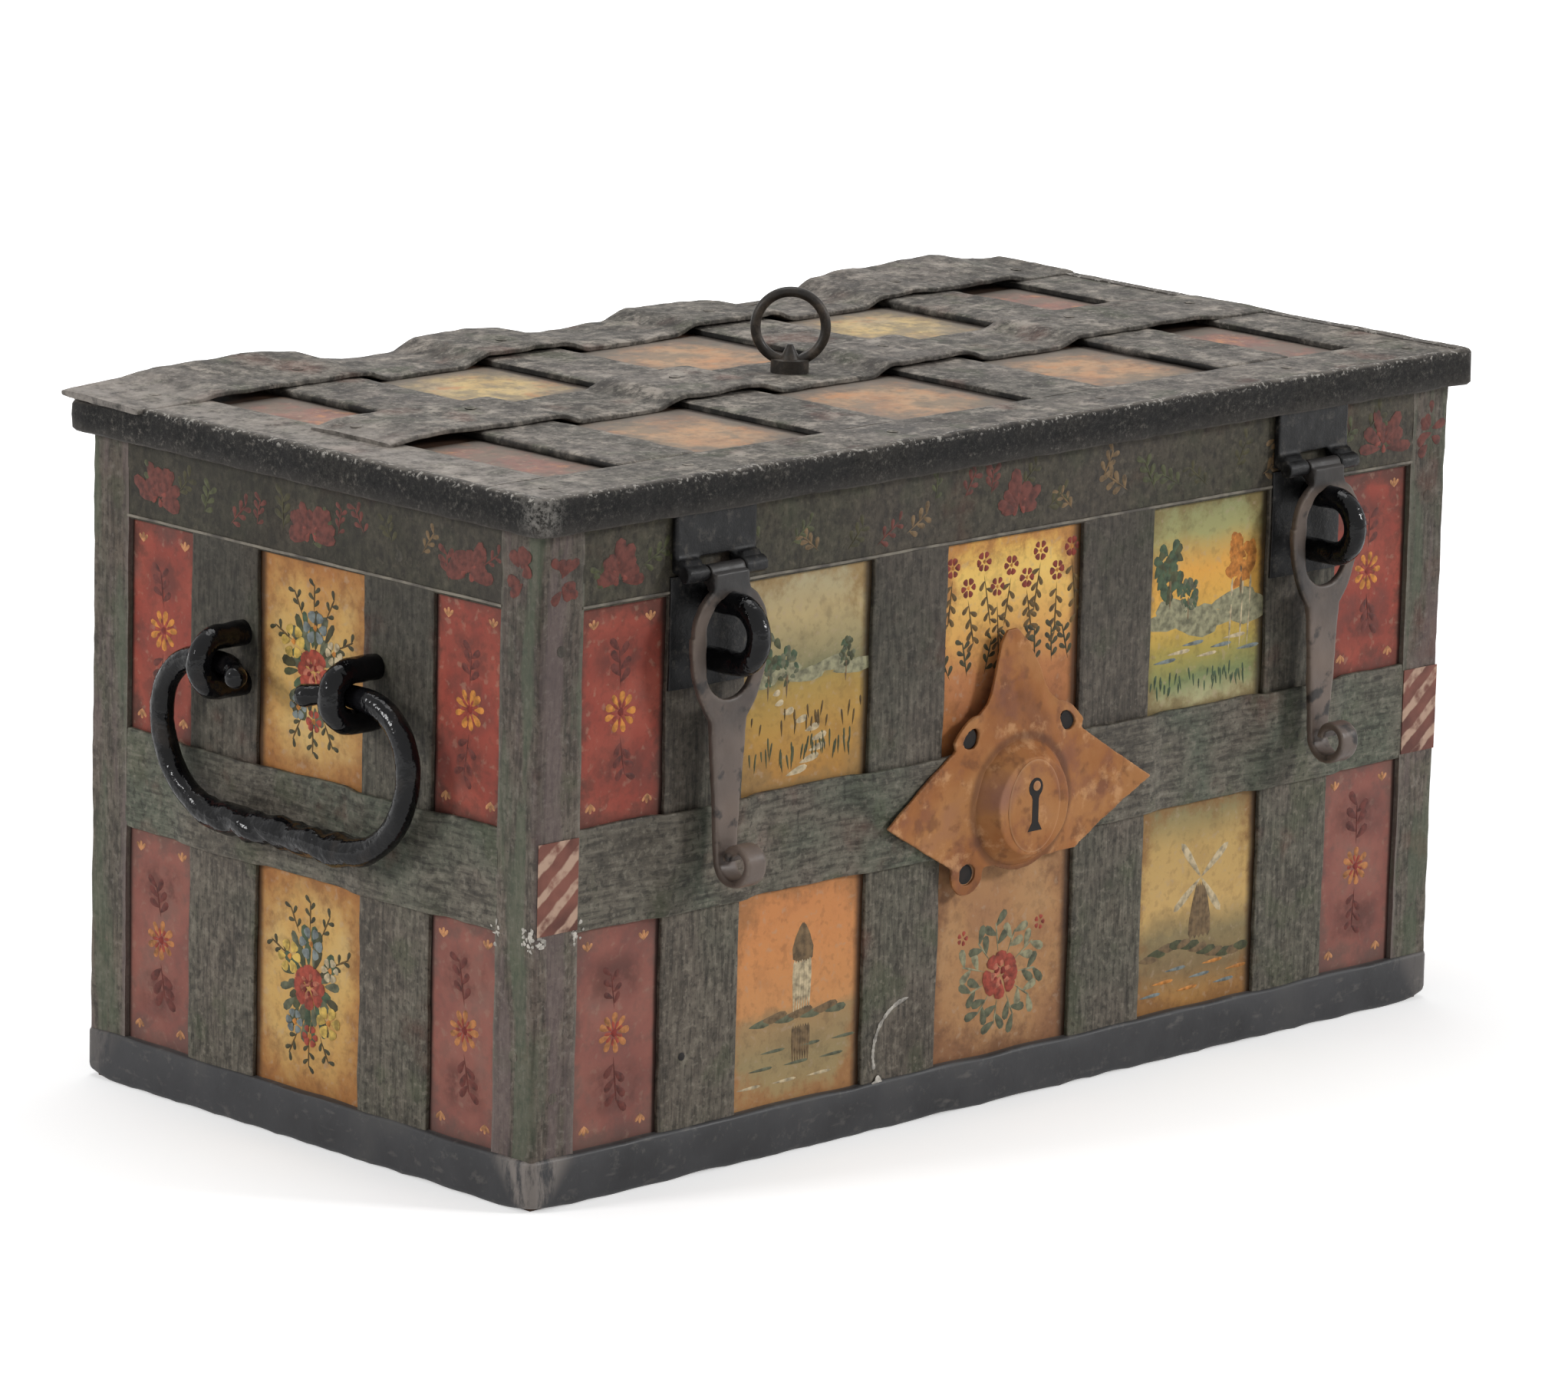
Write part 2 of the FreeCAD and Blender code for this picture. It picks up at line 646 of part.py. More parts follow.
for name, y_range in (
    ("lid_middle_strip", (-middle_strip_width / 2, middle_strip_width / 2)),
    ("lid_back_strip", (lid_y - back_strip_width, lid_y)),
):
    under = [Vector(x, y_range[0], lid_top + lift) for x, lift in run]
    over = [Vector(x, y_range[0], lid_top + long_thickness + lift) for x, lift in reversed(run)]
    strip = prism(under + over, Vector(0, y_range[1] - y_range[0], 0))
    save(name, drilled(strip, [*lid_rivets, keyway]))

# Lock levels, from the lock plate down to the bridge that carries the disc.
bolt_top = lock_low - running_clearance
bolt_low = bolt_top - bolt_thickness
disc_top = bolt_low - 2 * running_clearance
disc_low = disc_top - disc_thickness
hub_low = disc_low - hub_height
bridge_top = hub_low - running_clearance
bridge_low = bridge_top - bridge_thickness
lock_x, lock_y = rim_x - lock_plate_margin, rim_y - lock_plate_margin
lock_plate = block((-lock_x, lock_x), (-lock_y, lock_y), (lock_low, height))
save("lock_plate", lock_plate.cut(keyway))

# Key: bow with a cusp, collar, stem and bit, forged as one.
collar_low = bow_low + running_clearance
collar_high = collar_low + key_collar_height
bow_z = collar_high - key_bow_sink + key_bow_radius + key_bow_bar_radius
bit_low = bridge_top + running_clearance
key_parts = [
    rod(key_collar_radius, Vector(0, 0, collar_low), Vector(0, 0, collar_high)),
    rod(key_stem_radius, Vector(0, 0, bridge_low - key_stem_tail), Vector(0, 0, collar_high)),
    block((0, key_bit_reach), (-key_bit_thickness / 2, key_bit_thickness / 2),
          (bit_low, bit_low + key_bit_height)),
    Part.makeTorus(key_bow_radius, key_bow_bar_radius, Vector(0, 0, bow_z), Vector(0, 1, 0)),
    Part.makeCone(key_stem_radius, key_bow_bar_radius / 2, key_cusp_height,
                  Vector(0, 0, collar_high)),
]
save("key", turned(join(key_parts), key_rest_angle))

# Disc with four spiral slots: turning it drives every bolt the same way out.
slot_half = bolt_pin_radius + slot_clearance
disc_radius = bolt_pin_place + bolt_throw + slot_half + disc_margin


def spiral_point(share, shift):
    angle = -math.radians(key_turn) * share
    radius = bolt_pin_place + bolt_throw * share + shift
    return Vector(radius * math.cos(angle), radius * math.sin(angle), disc_low)


def spiral_side(shift):
    curve = Part.BSplineCurve()
    curve.interpolate([spiral_point(part / 8, shift) for part in range(9)])
    return curve.toShape()


slot_depth = Vector(0, 0, disc_thickness)
slot_face = Part.Face(Part.Wire([
    spiral_side(-slot_half), Part.makeLine(spiral_point(1, -slot_half), spiral_point(1, slot_half)),
    spiral_side(slot_half), Part.makeLine(spiral_point(0, slot_half), spiral_point(0, -slot_half)),
]))
slot = join([slot_face.extrude(slot_depth)] + [
    rod(slot_half, spiral_point(end, 0), spiral_point(end, 0) + slot_depth) for end in (0, 1)
])
disc = join([
    rod(disc_radius, Vector(0, 0, disc_low), Vector(0, 0, disc_top)),
    rod(hub_radius, Vector(0, 0, hub_low), Vector(0, 0, disc_low)),
])
socket_z = (hub_low, disc_top)
socket_half = key_bit_thickness / 2 + running_clearance
socket_radius = key_stem_radius + running_clearance
socket = join([
    rod(socket_radius, Vector(0, 0, hub_low), Vector(0, 0, disc_top)),
    block((0, key_bit_reach + running_clearance), (-socket_half, socket_half), socket_z),
])
disc = disc.cut([turned(socket, key_rest_angle), *(turned(slot, q * 90) for q in range(4))])
save("drive_disc", disc)

# Bridge under the disc, set across the corner between two bolts.
foot_place = disc_radius + bridge_foot
bridge = join([
    block((-foot_place, foot_place), (-bridge_width / 2, bridge_width / 2),
          (bridge_low, bridge_top)),
    block((-foot_place, bridge_foot - foot_place), (-bridge_width / 2, bridge_width / 2),
          (bridge_low, lock_low)),
    block((foot_place - bridge_foot, foot_place), (-bridge_width / 2, bridge_width / 2),
          (bridge_low, lock_low)),
])
bridge_bore = rod(socket_radius, Vector(0, 0, bridge_low), Vector(0, 0, bridge_top))
save("lock_bridge", turned(bridge.cut(bridge_bore), 90 + key_rest_angle + 90))

# Bolts point along +X when drawn. The end bolts are plain bars, the side bolts carry two heads.
bolt_z = (bolt_low, bolt_top)
keeper_low = bolt_low - running_clearance - keeper_wall
bolt_half, head_half = bolt_width / 2, bolt_head_width / 2


def drive_pin():
    return rod(bolt_pin_radius, Vector(bolt_pin_place, 0, disc_low + running_clearance),
               Vector(bolt_pin_place, 0, bolt_top))


def keeper(centre, side, half_width):
    ends = (centre - keeper_length / 2, centre + keeper_length / 2)
    gap = half_width + running_clearance
    yoke = block(ends, (side - gap - keeper_wall, side + gap + keeper_wall), (keeper_low, lock_low))
    return yoke.cut(block(ends, (side - gap, side + gap), (bolt_low - running_clearance, lock_low)))


end_tip = rim_x - bolt_tip_clearance
end_bolt = join([block((bolt_start, end_tip), (-bolt_half, bolt_half), bolt_z), drive_pin()])
side_tip = rim_y - bolt_tip_clearance
bar_start = disc_radius + keeper_length + 2 * keeper_gap
bar = (bar_start, bar_start + bolt_bar_width)
head_place = rim_x * bolt_head_share
side_bolt = join([
    block((bolt_start, bar[1]), (-bolt_half, bolt_half), bolt_z),
    block(bar, (-(head_place + head_half), head_place + head_half), bolt_z),
    *(block((bar[0], side_tip), (s * head_place - head_half, s * head_place + head_half), bolt_z)
      for s in (-1, 1)),
    drive_pin(),
])
stem_keeper = (disc_radius + bar[0]) / 2
keepers = []
for name, turn in (("front", 270), ("back", 90)):
    save(name + "_bolt", turned(side_bolt, turn))
    keepers.append(turned(keeper(stem_keeper, 0, bolt_half), turn))
    for s in (-1, 1):
        keepers.append(turned(keeper(side_tip - keeper_inset, s * head_place, head_half), turn))
for name, turn in (("left", 180), ("right", 0)):
    save(name + "_bolt", turned(end_bolt, turn))
    for place in (stem_keeper, rim_x * end_keeper_share, end_tip - keeper_inset - keeper_length):
        keepers.append(turned(keeper(place, 0, bolt_half), turn))
save("bolt_keepers", *keepers)
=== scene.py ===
import itertools
import math
import random

import bmesh
import bpy
from mathutils import Matrix, Vector, noise


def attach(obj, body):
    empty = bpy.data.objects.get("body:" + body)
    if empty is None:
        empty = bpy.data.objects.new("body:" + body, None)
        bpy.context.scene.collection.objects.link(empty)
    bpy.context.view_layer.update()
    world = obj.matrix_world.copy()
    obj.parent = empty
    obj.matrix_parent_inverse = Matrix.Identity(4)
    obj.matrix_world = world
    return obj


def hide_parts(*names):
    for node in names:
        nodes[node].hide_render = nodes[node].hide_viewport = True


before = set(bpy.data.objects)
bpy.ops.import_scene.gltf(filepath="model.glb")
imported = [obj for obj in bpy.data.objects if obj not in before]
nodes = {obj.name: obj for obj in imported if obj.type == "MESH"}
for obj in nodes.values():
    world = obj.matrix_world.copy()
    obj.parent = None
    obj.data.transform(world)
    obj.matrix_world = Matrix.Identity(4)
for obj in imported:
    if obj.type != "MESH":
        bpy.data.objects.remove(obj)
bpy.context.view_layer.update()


# Wall sheets, floor and flanges: rolled iron under a dark oil primer, browned with age. The sheets are
# riveted to the corner angles, line the inside of the box, and carry the painted fields outside.
class Wiring:
    """Adds nodes to a tree by their full type name and feeds their inputs."""

    def node(self, kind, inputs=None, **settings):
        node = self.tree.nodes.new(kind)
        for key, value in settings.items():
            setattr(node, key, value)
        for key, value in (inputs or {}).items():
            if isinstance(value, bpy.types.NodeSocket):
                self.tree.links.new(value, node.inputs[key])
            else:
                node.inputs[key].default_value = value
        return node

    def out(self, kind, inputs=None, **settings):
        return self.node(kind, inputs, **settings).outputs[0]

    def math(self, operation, *values):
        return self.out("ShaderNodeMath", dict(enumerate(values)), operation=operation)

    def times(self, value, *others):
        for other in others:
            value = self.math("MULTIPLY", value, other)
        return value

    def scaled(self, value, share, more):
        """The value times a share, with more added."""
        return self.math("MULTIPLY_ADD", value, share, more)

    def off(self, value, middle):
        """How far a value lies from its middle, to either side."""
        return self.math("ABSOLUTE", self.math("SUBTRACT", value, middle))

    def parts(self, vector):
        return self.node("ShaderNodeSeparateXYZ", {0: vector}).outputs[:3]


class Finish(Wiring):
    """A material in the making, patterned on the Object coordinates of the piece that wears it. Its colours
    are given as red, green and blue on the screen's 0 to 255 scale."""

    def __init__(self, name, roughness=0.6, shine=0.5, metal=0.0):
        self.material = bpy.data.materials.new(name)
        self.material.use_nodes = True
        self.tree = self.material.node_tree
        self.shader = self.tree.nodes["Principled BSDF"]
        for key, value in (("Roughness", roughness), ("Specular IOR Level", shine), ("Metallic", metal)):
            self.shader.inputs[key].default_value = value
        self.place = self.node("ShaderNodeTexCoord").outputs["Object"]

    def noise(self, scale, detail=4.0, stretch=None, roughness=0.5):
        at = self.place
        if stretch:
            at = self.out("ShaderNodeMapping", {"Vector": at, "Scale": stretch})
        inputs = {"Vector": at, "Scale": scale, "Detail": detail, "Roughness": roughness}
        return self.out("ShaderNodeTexNoise", inputs)

    def step(self, value, low, high):
        inputs = {"Value": value, "From Min": low, "From Max": high}
        return self.out("ShaderNodeMapRange", inputs, interpolation_type="SMOOTHSTEP")

    def patches(self, low, high, *grain):
        return self.step(self.noise(*grain), low, high)

    def arris(self, low, high):
        """Where the piece has an outer edge that rubs bare."""
        return self.step(self.node("ShaderNodeNewGeometry").outputs["Pointiness"], low, high)

    def facing(self):
        return self.parts(self.node("ShaderNodeTexCoord").outputs["Normal"])

    def mix(self, share, first, second, blend="MIX"):
        if not isinstance(second, bpy.types.NodeSocket):
            second = paint(*second)
        inputs = {0: share, 6: first, 7: second}
        return self.node("ShaderNodeMix", inputs, data_type="RGBA", blend_type=blend).outputs[2]

    def ramp(self, value, *stops):
        """Colours met as a value rises: each stop is a place and its colour."""
        node = self.node("ShaderNodeValToRGB", {0: value})
        marks = node.color_ramp.elements
        marks.remove(marks[1])
        for number, (at, *colour) in enumerate(stops):
            mark = marks[0] if number == 0 else marks.new(at)
            mark.position, mark.color = at, paint(*colour)
        return node.outputs[0]

    def colour(self, value):
        self.tree.links.new(value, self.shader.inputs["Base Color"])

    def ground(self, value, *stops):
        self.colour(self.ramp(value, *stops))

    def over(self, share, most, colour):
        """Lays one more colour over the paint that is there, at most so thick."""
        laid = self.shader.inputs["Base Color"].links[0].from_socket
        self.colour(self.mix(self.times(share, most), laid, colour))

    def coats(self, *coats):
        """Colours one over another, each by a pattern, where it starts and is full, how thick, and its colour."""
        for pattern, low, high, most, colour in coats:
            self.over(self.step(pattern, low, high), most, colour)

    def rough(self, value, low, high):
        inputs = {"Value": value, "From Min": 0.25, "From Max": 0.75, "To Min": low, "To Max": high}
        self.tree.links.new(self.out("ShaderNodeMapRange", inputs), self.shader.inputs["Roughness"])

    def relief(self, height, depth, strength):
        bump = self.node("ShaderNodeBump", {"Height": height, "Distance": depth, "Strength": strength})
        normal = self.shader.inputs["Normal"]
        if normal.is_linked:
            self.tree.links.new(normal.links[0].from_socket, bump.inputs["Normal"])
        self.tree.links.new(bump.outputs[0], normal)


def paint(*colour):
    """A colour on the screen's 0 to 255 scale, as the linear colour that a socket takes."""
    scaled = [c / 255 for c in colour]
    return (*(((c + 0.055) / 1.055) ** 2.4 if c > 0.04 else c / 12.92 for c in scaled), 1.0)


def dress(finish, *names):
    for name in names:
        nodes[name].data.materials.clear()
        nodes[name].data.materials.append(finish.material)


primer = Finish("oiled_primer", shine=0.25)
rust = primer.noise(16.0, 7.0)
primer.ground(rust, (0.3, 58, 47, 40), (0.52, 82, 60, 46), (0.75, 104, 70, 48))
primer.over(primer.patches(0.52, 0.75, 120.0, 5.0), 1.0, (44, 38, 34))
primer.rough(rust, 0.5, 0.8)
primer.relief(primer.noise(260.0, 5.0), 0.0004, 0.6)
long_walls, end_walls = ("front", "back"), ("left_end", "right_end")
dress(primer, *(wall + "_sheet" for wall in long_walls + end_walls), "floor_plate", "floor_flanges")

# Painted fields in the openings between the straps: oil paint on the wall sheets, slightly buckled, darker
# towards the straps with grime and painted shade, with a painted shadow along one edge, and rubbed in the middle.
# Red at the corners, ochre and little views between them.
# The places of fields and of brush touches are in millimetres along, out from and up a wall.
mm = 0.001
half_length, half_depth, wall_height = 280 * mm, 142 * mm, 296 * mm
strap_deep = 3 * mm
walls = {
    "front": (0, half_depth, half_length), "right_end": (90, half_length, half_depth),
    "back": (180, half_depth, half_length), "left_end": (270, half_length, half_depth),
}
rows = ((22, 116), (160, 252))
red_column, view_column, end_column = (207.3, 256), (86.9, 162.3), (76.6, 118)
centre_half, end_half = 41.9, 33.6
sheet_level, field_tuck = -3, 1.5
crease = math.radians(50)


class Shape(Wiring):
    """A geometry tree in the making. Its sizes are named inputs, and it ends as real faces with a finish."""

    def __init__(self, name, **sizes):
        self.tree = bpy.data.node_groups.new(name, "GeometryNodeTree")
        face = self.tree.interface
        face.new_socket("Base", in_out="INPUT", socket_type="NodeSocketGeometry")
        for size, default in sizes.items():
            kind = "NodeSocketInt" if isinstance(default, int) else "NodeSocketFloat"
            face.new_socket(size, in_out="INPUT", socket_type=kind).default_value = default
        face.new_socket("Finish", in_out="INPUT", socket_type="NodeSocketMaterial")
        face.new_socket("Made", in_out="OUTPUT", socket_type="NodeSocketGeometry")
        self.given = self.node("NodeGroupInput").outputs

    def seeded(self):
        shift = [self.times(self.given["Seed"], share) for share in (1.7, 3.1, 0.9)]
        away = self.out("ShaderNodeCombineXYZ", dict(enumerate(shift)))
        return self.out("ShaderNodeVectorMath", {0: self.out("GeometryNodeInputPosition"), 1: away})

    def noise(self, at, scale, detail=2.0):
        value = self.out("ShaderNodeTexNoise", {"Vector": at, "Scale": scale, "Detail": detail})
        return self.math("SUBTRACT", value, 0.5)

    def moved(self, geometry, **inputs):
        return self.out("GeometryNodeSetPosition", {"Geometry": geometry, **inputs})

    def close(self, geometry):
        smooth = self.out("GeometryNodeSetShadeSmooth", {0: geometry})
        real = self.out("GeometryNodeRealizeInstances", {0: smooth})
        done = self.out("GeometryNodeSetMaterial", {"Geometry": real, "Material": self.given["Finish"]})
        self.node("NodeGroupOutput", {0: done})


def placed(name, data):
    """A new object in the scene, at the origin."""
    piece = bpy.data.objects.new(name, data)
    bpy.context.scene.collection.objects.link(piece)
    return piece


def settled(piece):
    """Turns what a piece's modifiers make of it into its plain mesh."""
    graph = bpy.context.evaluated_depsgraph_get()
    mesh = bpy.data.meshes.new_from_object(piece.evaluated_get(graph), depsgraph=graph)
    piece.modifiers.clear()
    piece.data = mesh
    return mesh


def meshed(name, work):
    mesh = bpy.data.meshes.new(name)
    work.to_mesh(mesh)
    work.free()
    return mesh


def grown(name, shape, finish, verts, edges=(), faces=(), marks=None, corners=None, place=None, **sizes):
    """Runs a geometry tree on a small base mesh and returns its plain mesh as a piece, laid in place."""
    base = bpy.data.meshes.new(name)
    base.from_pydata(verts, edges, faces)
    for mark, vectors in (marks or {}).items():
        layer = base.attributes.new(mark, "FLOAT_VECTOR", "POINT")
        layer.data.foreach_set("vector", [part for vector in vectors for part in vector])
    if corners:
        base.uv_layers.new(name="Field").data.foreach_set("uv", [part for spot in corners for part in spot])
    piece = placed(name, base)
    grow = piece.modifiers.new("grow", "NODES")
    grow.node_group = shape.tree
    sizes["Finish"] = finish.material
    for item in shape.tree.interface.items_tree:
        if item.in_out == "INPUT" and item.name in sizes:
            grow[item.identifier] = sizes[item.name]
    mesh = settled(piece)
    if place:
        mesh.transform(place)
    mesh.set_sharp_from_angle(angle=crease)
    return piece


def joined(name, pieces):
    """Several pieces of one finish as one mesh."""
    work = bmesh.new()
    for piece in pieces:
        work.from_mesh(piece.data)
    mesh = meshed(name, work)
    mesh.materials.append(pieces[0].data.materials[0])
    for piece in pieces:
        bpy.data.objects.remove(piece)
    return placed(name, mesh)


def fit(piece, body, slot, *replaced):
    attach(piece, body)
    if replaced:
        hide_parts(*replaced)


def on_wall(wall, along, out, up):
    turn, face, _ = walls[wall]
    return Matrix.Rotation(math.radians(turn), 3, "Z") @ Vector((along * mm, -(face + out * mm), up * mm))


buckled = Shape("buckled_field", Skin=0.4 * mm, Buckle=0.6 * mm, Seed=1.0)
split = buckled.out("GeometryNodeSubdivideMesh", {"Mesh": buckled.given["Base"], "Level": 4})
lifted = buckled.node("GeometryNodeExtrudeMesh", {
    "Mesh": split, "Offset Scale": buckled.given["Skin"], "Individual": False}, mode="FACES").outputs
both = buckled.node("GeometryNodeJoinGeometry")
for part in (buckled.out("GeometryNodeFlipFaces", {"Mesh": split}), lifted["Mesh"]):
    buckled.tree.links.new(part, both.inputs[0])
welded = buckled.out("GeometryNodeMergeByDistance", {"Geometry": both.outputs[0], "Distance": 1e-5})
swell = buckled.math("ABSOLUTE", buckled.noise(buckled.seeded(), 38.0))
push = buckled.out("ShaderNodeVectorMath", {
    0: buckled.out("GeometryNodeInputNormal"), "Scale": buckled.times(swell, buckled.given["Buckle"]),
}, operation="SCALE")
buckled.close(buckled.moved(welded, Selection=lifted["Top"], Offset=push))


def field_paint(name, tones, grime_and_shade, grime_and_shade_depth, v_tones=None, dust=0.35, stain=0.2, red=False, rubbed=0.0):
    """Oil paint mottled between its tones, darker towards the straps with grime and painted shade, and with a
    painted shadow along the edge beside the strap that shades it. v_tones grade it from foot to head. The reds are
    smudged over and under the middle, and dulled in the lower row. rubbed is for the lid: patches worn to grey or
    warmed to orange, and a soft grey rim."""
    finish = Finish(name, shine=0.25)
    u, v, _ = finish.parts(finish.out("ShaderNodeUVMap", uv_map="Field"))
    broad, fine, mottle = finish.noise(34.0, 6.0), finish.noise(230.0), finish.noise(90.0, 6.0, None, 0.65)
    stray = finish.math("SUBTRACT", mottle, 0.5)
    if v_tones:
        moved = finish.scaled(finish.math("SUBTRACT", broad, 0.5), 0.14, v)
        graded = finish.ramp(finish.scaled(stray, 0.1, moved), *v_tones)
        finish.colour(finish.mix(0.3, graded, finish.ramp(mottle, *tones), "SOFT_LIGHT"))
    else:
        finish.ground(broad, *tones)
    inward, upward = (finish.times(way, finish.math("SUBTRACT", 1.0, way)) for way in (u, v))
    ragged = finish.scaled(stray, 0.9, finish.times(inward, upward, 16.0))
    # The first coat darkens the paint towards the straps: grime, and painted shade in the recess beside them.
    finish.coats(
        (ragged, grime_and_shade_depth, 0.02, 0.8, grime_and_shade), (mottle, 0.5, 0.36, stain, (62, 46, 38)),
        (fine, 0.46, 0.34, 0.18, (56, 44, 38)), (fine, 0.57, 0.7, dust, (176, 154, 130)))
    if rubbed:
        patchy = finish.noise(52.0, 6.0, None, 0.68)
        finish.coats(
            (patchy, 0.54, 0.4, rubbed, (112, 107, 96)), (patchy, 0.55, 0.68, rubbed, (196, 140, 98)),
            (ragged, 0.62, 0.1, 0.75, (106, 100, 93)))
    if red:
        height = finish.parts(finish.place)[2]
        faded = finish.ramp(broad, (0.35, 112, 92, 86), (0.65, 136, 112, 102))
        finish.coats((height, 150 * mm, 100 * mm, 0.45, faded))
        band = finish.off(finish.off(v, 0.5), 0.25)
        cloud = finish.times(finish.step(band, 0.15, 0.03), finish.step(finish.off(u, 0.5), 0.42, 0.12))
        finish.over(finish.times(cloud, finish.step(mottle, 0.36, 0.6)), 0.7, (76, 46, 40))
    # Painted shadow: the field's edge beside the strap that shades it is painted near black, the right edge on the long
    # walls and the lid, the left edge on the end walls.
    on_end = finish.step(finish.math("ABSOLUTE", finish.facing()[0]), 0.4, 0.6)
    painted_shadow_seam = finish.scaled(on_end, finish.scaled(u, -2.0, 1.0), u)
    finish.coats((painted_shadow_seam, 0.91, 0.965, 0.85, (30, 22, 18)))
    finish.rough(broad, 0.48, 0.72)
    finish.relief(fine, 0.0003, 0.5)
    return finish


def fields(name, finish, spots, seed, body="chest", slot="painted_panels"):
    """Painted fields, one for each spot: four corners, foot left first, going round."""
    verts = [corner for spot in spots for corner in spot]
    faces = [tuple(range(first, first + 4)) for first in range(0, len(verts), 4)]
    corners = [(0, 0), (1, 0), (1, 1), (0, 1)] * len(spots)
    fit(grown(name, buckled, finish, verts, faces=faces, corners=corners, Seed=seed), body, slot)


def four_corners(left, right, low, high, tuck=field_tuck):
    left, right, low, high = left - tuck, right + tuck, low - tuck, high + tuck
    return (left, low), (right, low), (right, high), (left, high)


def wall_fields(name, finish, spots, seed, out=sheet_level, tuck=field_tuck):
    fields(name, finish, [
        [on_wall(wall, s, out, z) for s, z in four_corners(*edges, tuck)] for wall, *edges in spots], seed)


def mirrored(low, high):
    return (low, high), (-high, -low)


brick = field_paint("brick_red_field", (
    (0.3, 110, 58, 50), (0.45, 144, 66, 54), (0.58, 156, 78, 64), (0.74, 122, 82, 74),
), (92, 56, 48), 0.45, dust=0.25, stain=0.3, red=True)
red_spots = [
    (wall, *column, *row) for row in rows for wall in long_walls + end_walls
    for column in mirrored(*(red_column if wall in long_walls else end_column))]
wall_fields("red_fields", brick, red_spots, 1.0)
ochre = field_paint("ochre_field", (
    (0.28, 184, 132, 72), (0.5, 204, 164, 98), (0.72, 206, 176, 118)), (150, 92, 48), 0.7)
ochre_spots = [(wall, -end_half, end_half, *row) for wall in end_walls for row in rows]
ochre_spots += [("back", *column, *row) for row in rows for column in mirrored(*view_column)]
wall_fields("ochre_fields", ochre, ochre_spots, 2.0)
straw = field_paint("straw_field", ((0.3, 206, 160, 96), (0.7, 228, 190, 118)), (178, 116, 66), 0.4, (
    (0.0, 150, 98, 72), (0.36, 176, 122, 84), (0.55, 214, 166, 100), (0.8, 232, 196, 118), (1.0, 226, 186, 104)))
straw_spots = [(wall, -centre_half, centre_half, *rows[1]) for wall in long_walls]
wall_fields("straw_fields", straw, straw_spots, 3.0)
honey = field_paint("honey_field", (
    (0.3, 160, 116, 80), (0.5, 174, 130, 88), (0.72, 184, 144, 102)), (124, 84, 58), 0.5)
honey_spots = [(wall, -centre_half, centre_half, *rows[0]) for wall in long_walls]
wall_fields("honey_fields", honey, honey_spots, 4.0)
view_right, view_left = mirrored(*view_column)
brush_marks = ((0.3, 110, 110, 110), (0.7, 160, 160, 150))
views = {
    "hill_view": (view_left, rows[1], (150, 120, 74), (
        (0.0, 176, 126, 66), (0.28, 186, 146, 76), (0.46, 174, 146, 80), (0.52, 122, 120, 88),
        (0.6, 150, 140, 104), (0.8, 188, 168, 124), (1.0, 176, 166, 136))),
    "lake_view": (view_right, rows[1], (120, 100, 60), (
        (0.0, 206, 196, 156), (0.14, 126, 138, 92), (0.3, 176, 158, 84), (0.46, 222, 178, 88),
        (0.66, 226, 170, 82), (0.85, 168, 164, 112), (1.0, 150, 152, 110))),
    "tower_view": (view_left, rows[0], (168, 116, 72), (
        (0.0, 176, 150, 104), (0.22, 158, 140, 102), (0.4, 170, 140, 100), (0.45, 206, 150, 98),
        (0.7, 210, 146, 92), (1.0, 204, 138, 86))),
    "mill_view": (view_right, rows[0], (140, 100, 58), (
        (0.0, 196, 142, 72), (0.2, 140, 118, 84), (0.36, 146, 130, 94), (0.5, 206, 172, 112),
        (0.76, 196, 164, 104), (1.0, 128, 124, 92))),
}
for number, (name, (column, row, grime_and_shade, tones)) in enumerate(views.items()):
    wash = field_paint(name, brush_marks, grime_and_shade, 0.35, tones, stain=0.12)
    wall_fields(name, wash, [("front", *column, *row)], 5.0 + number)

# Uprights: flat iron straps riveted over the sheets, two on each end and four on each long wall. They are
# hammered a little uneven and painted a grey-brown that has streaked and rubbed down to the metal.
end_face = (-276 * mm, -279 * mm)


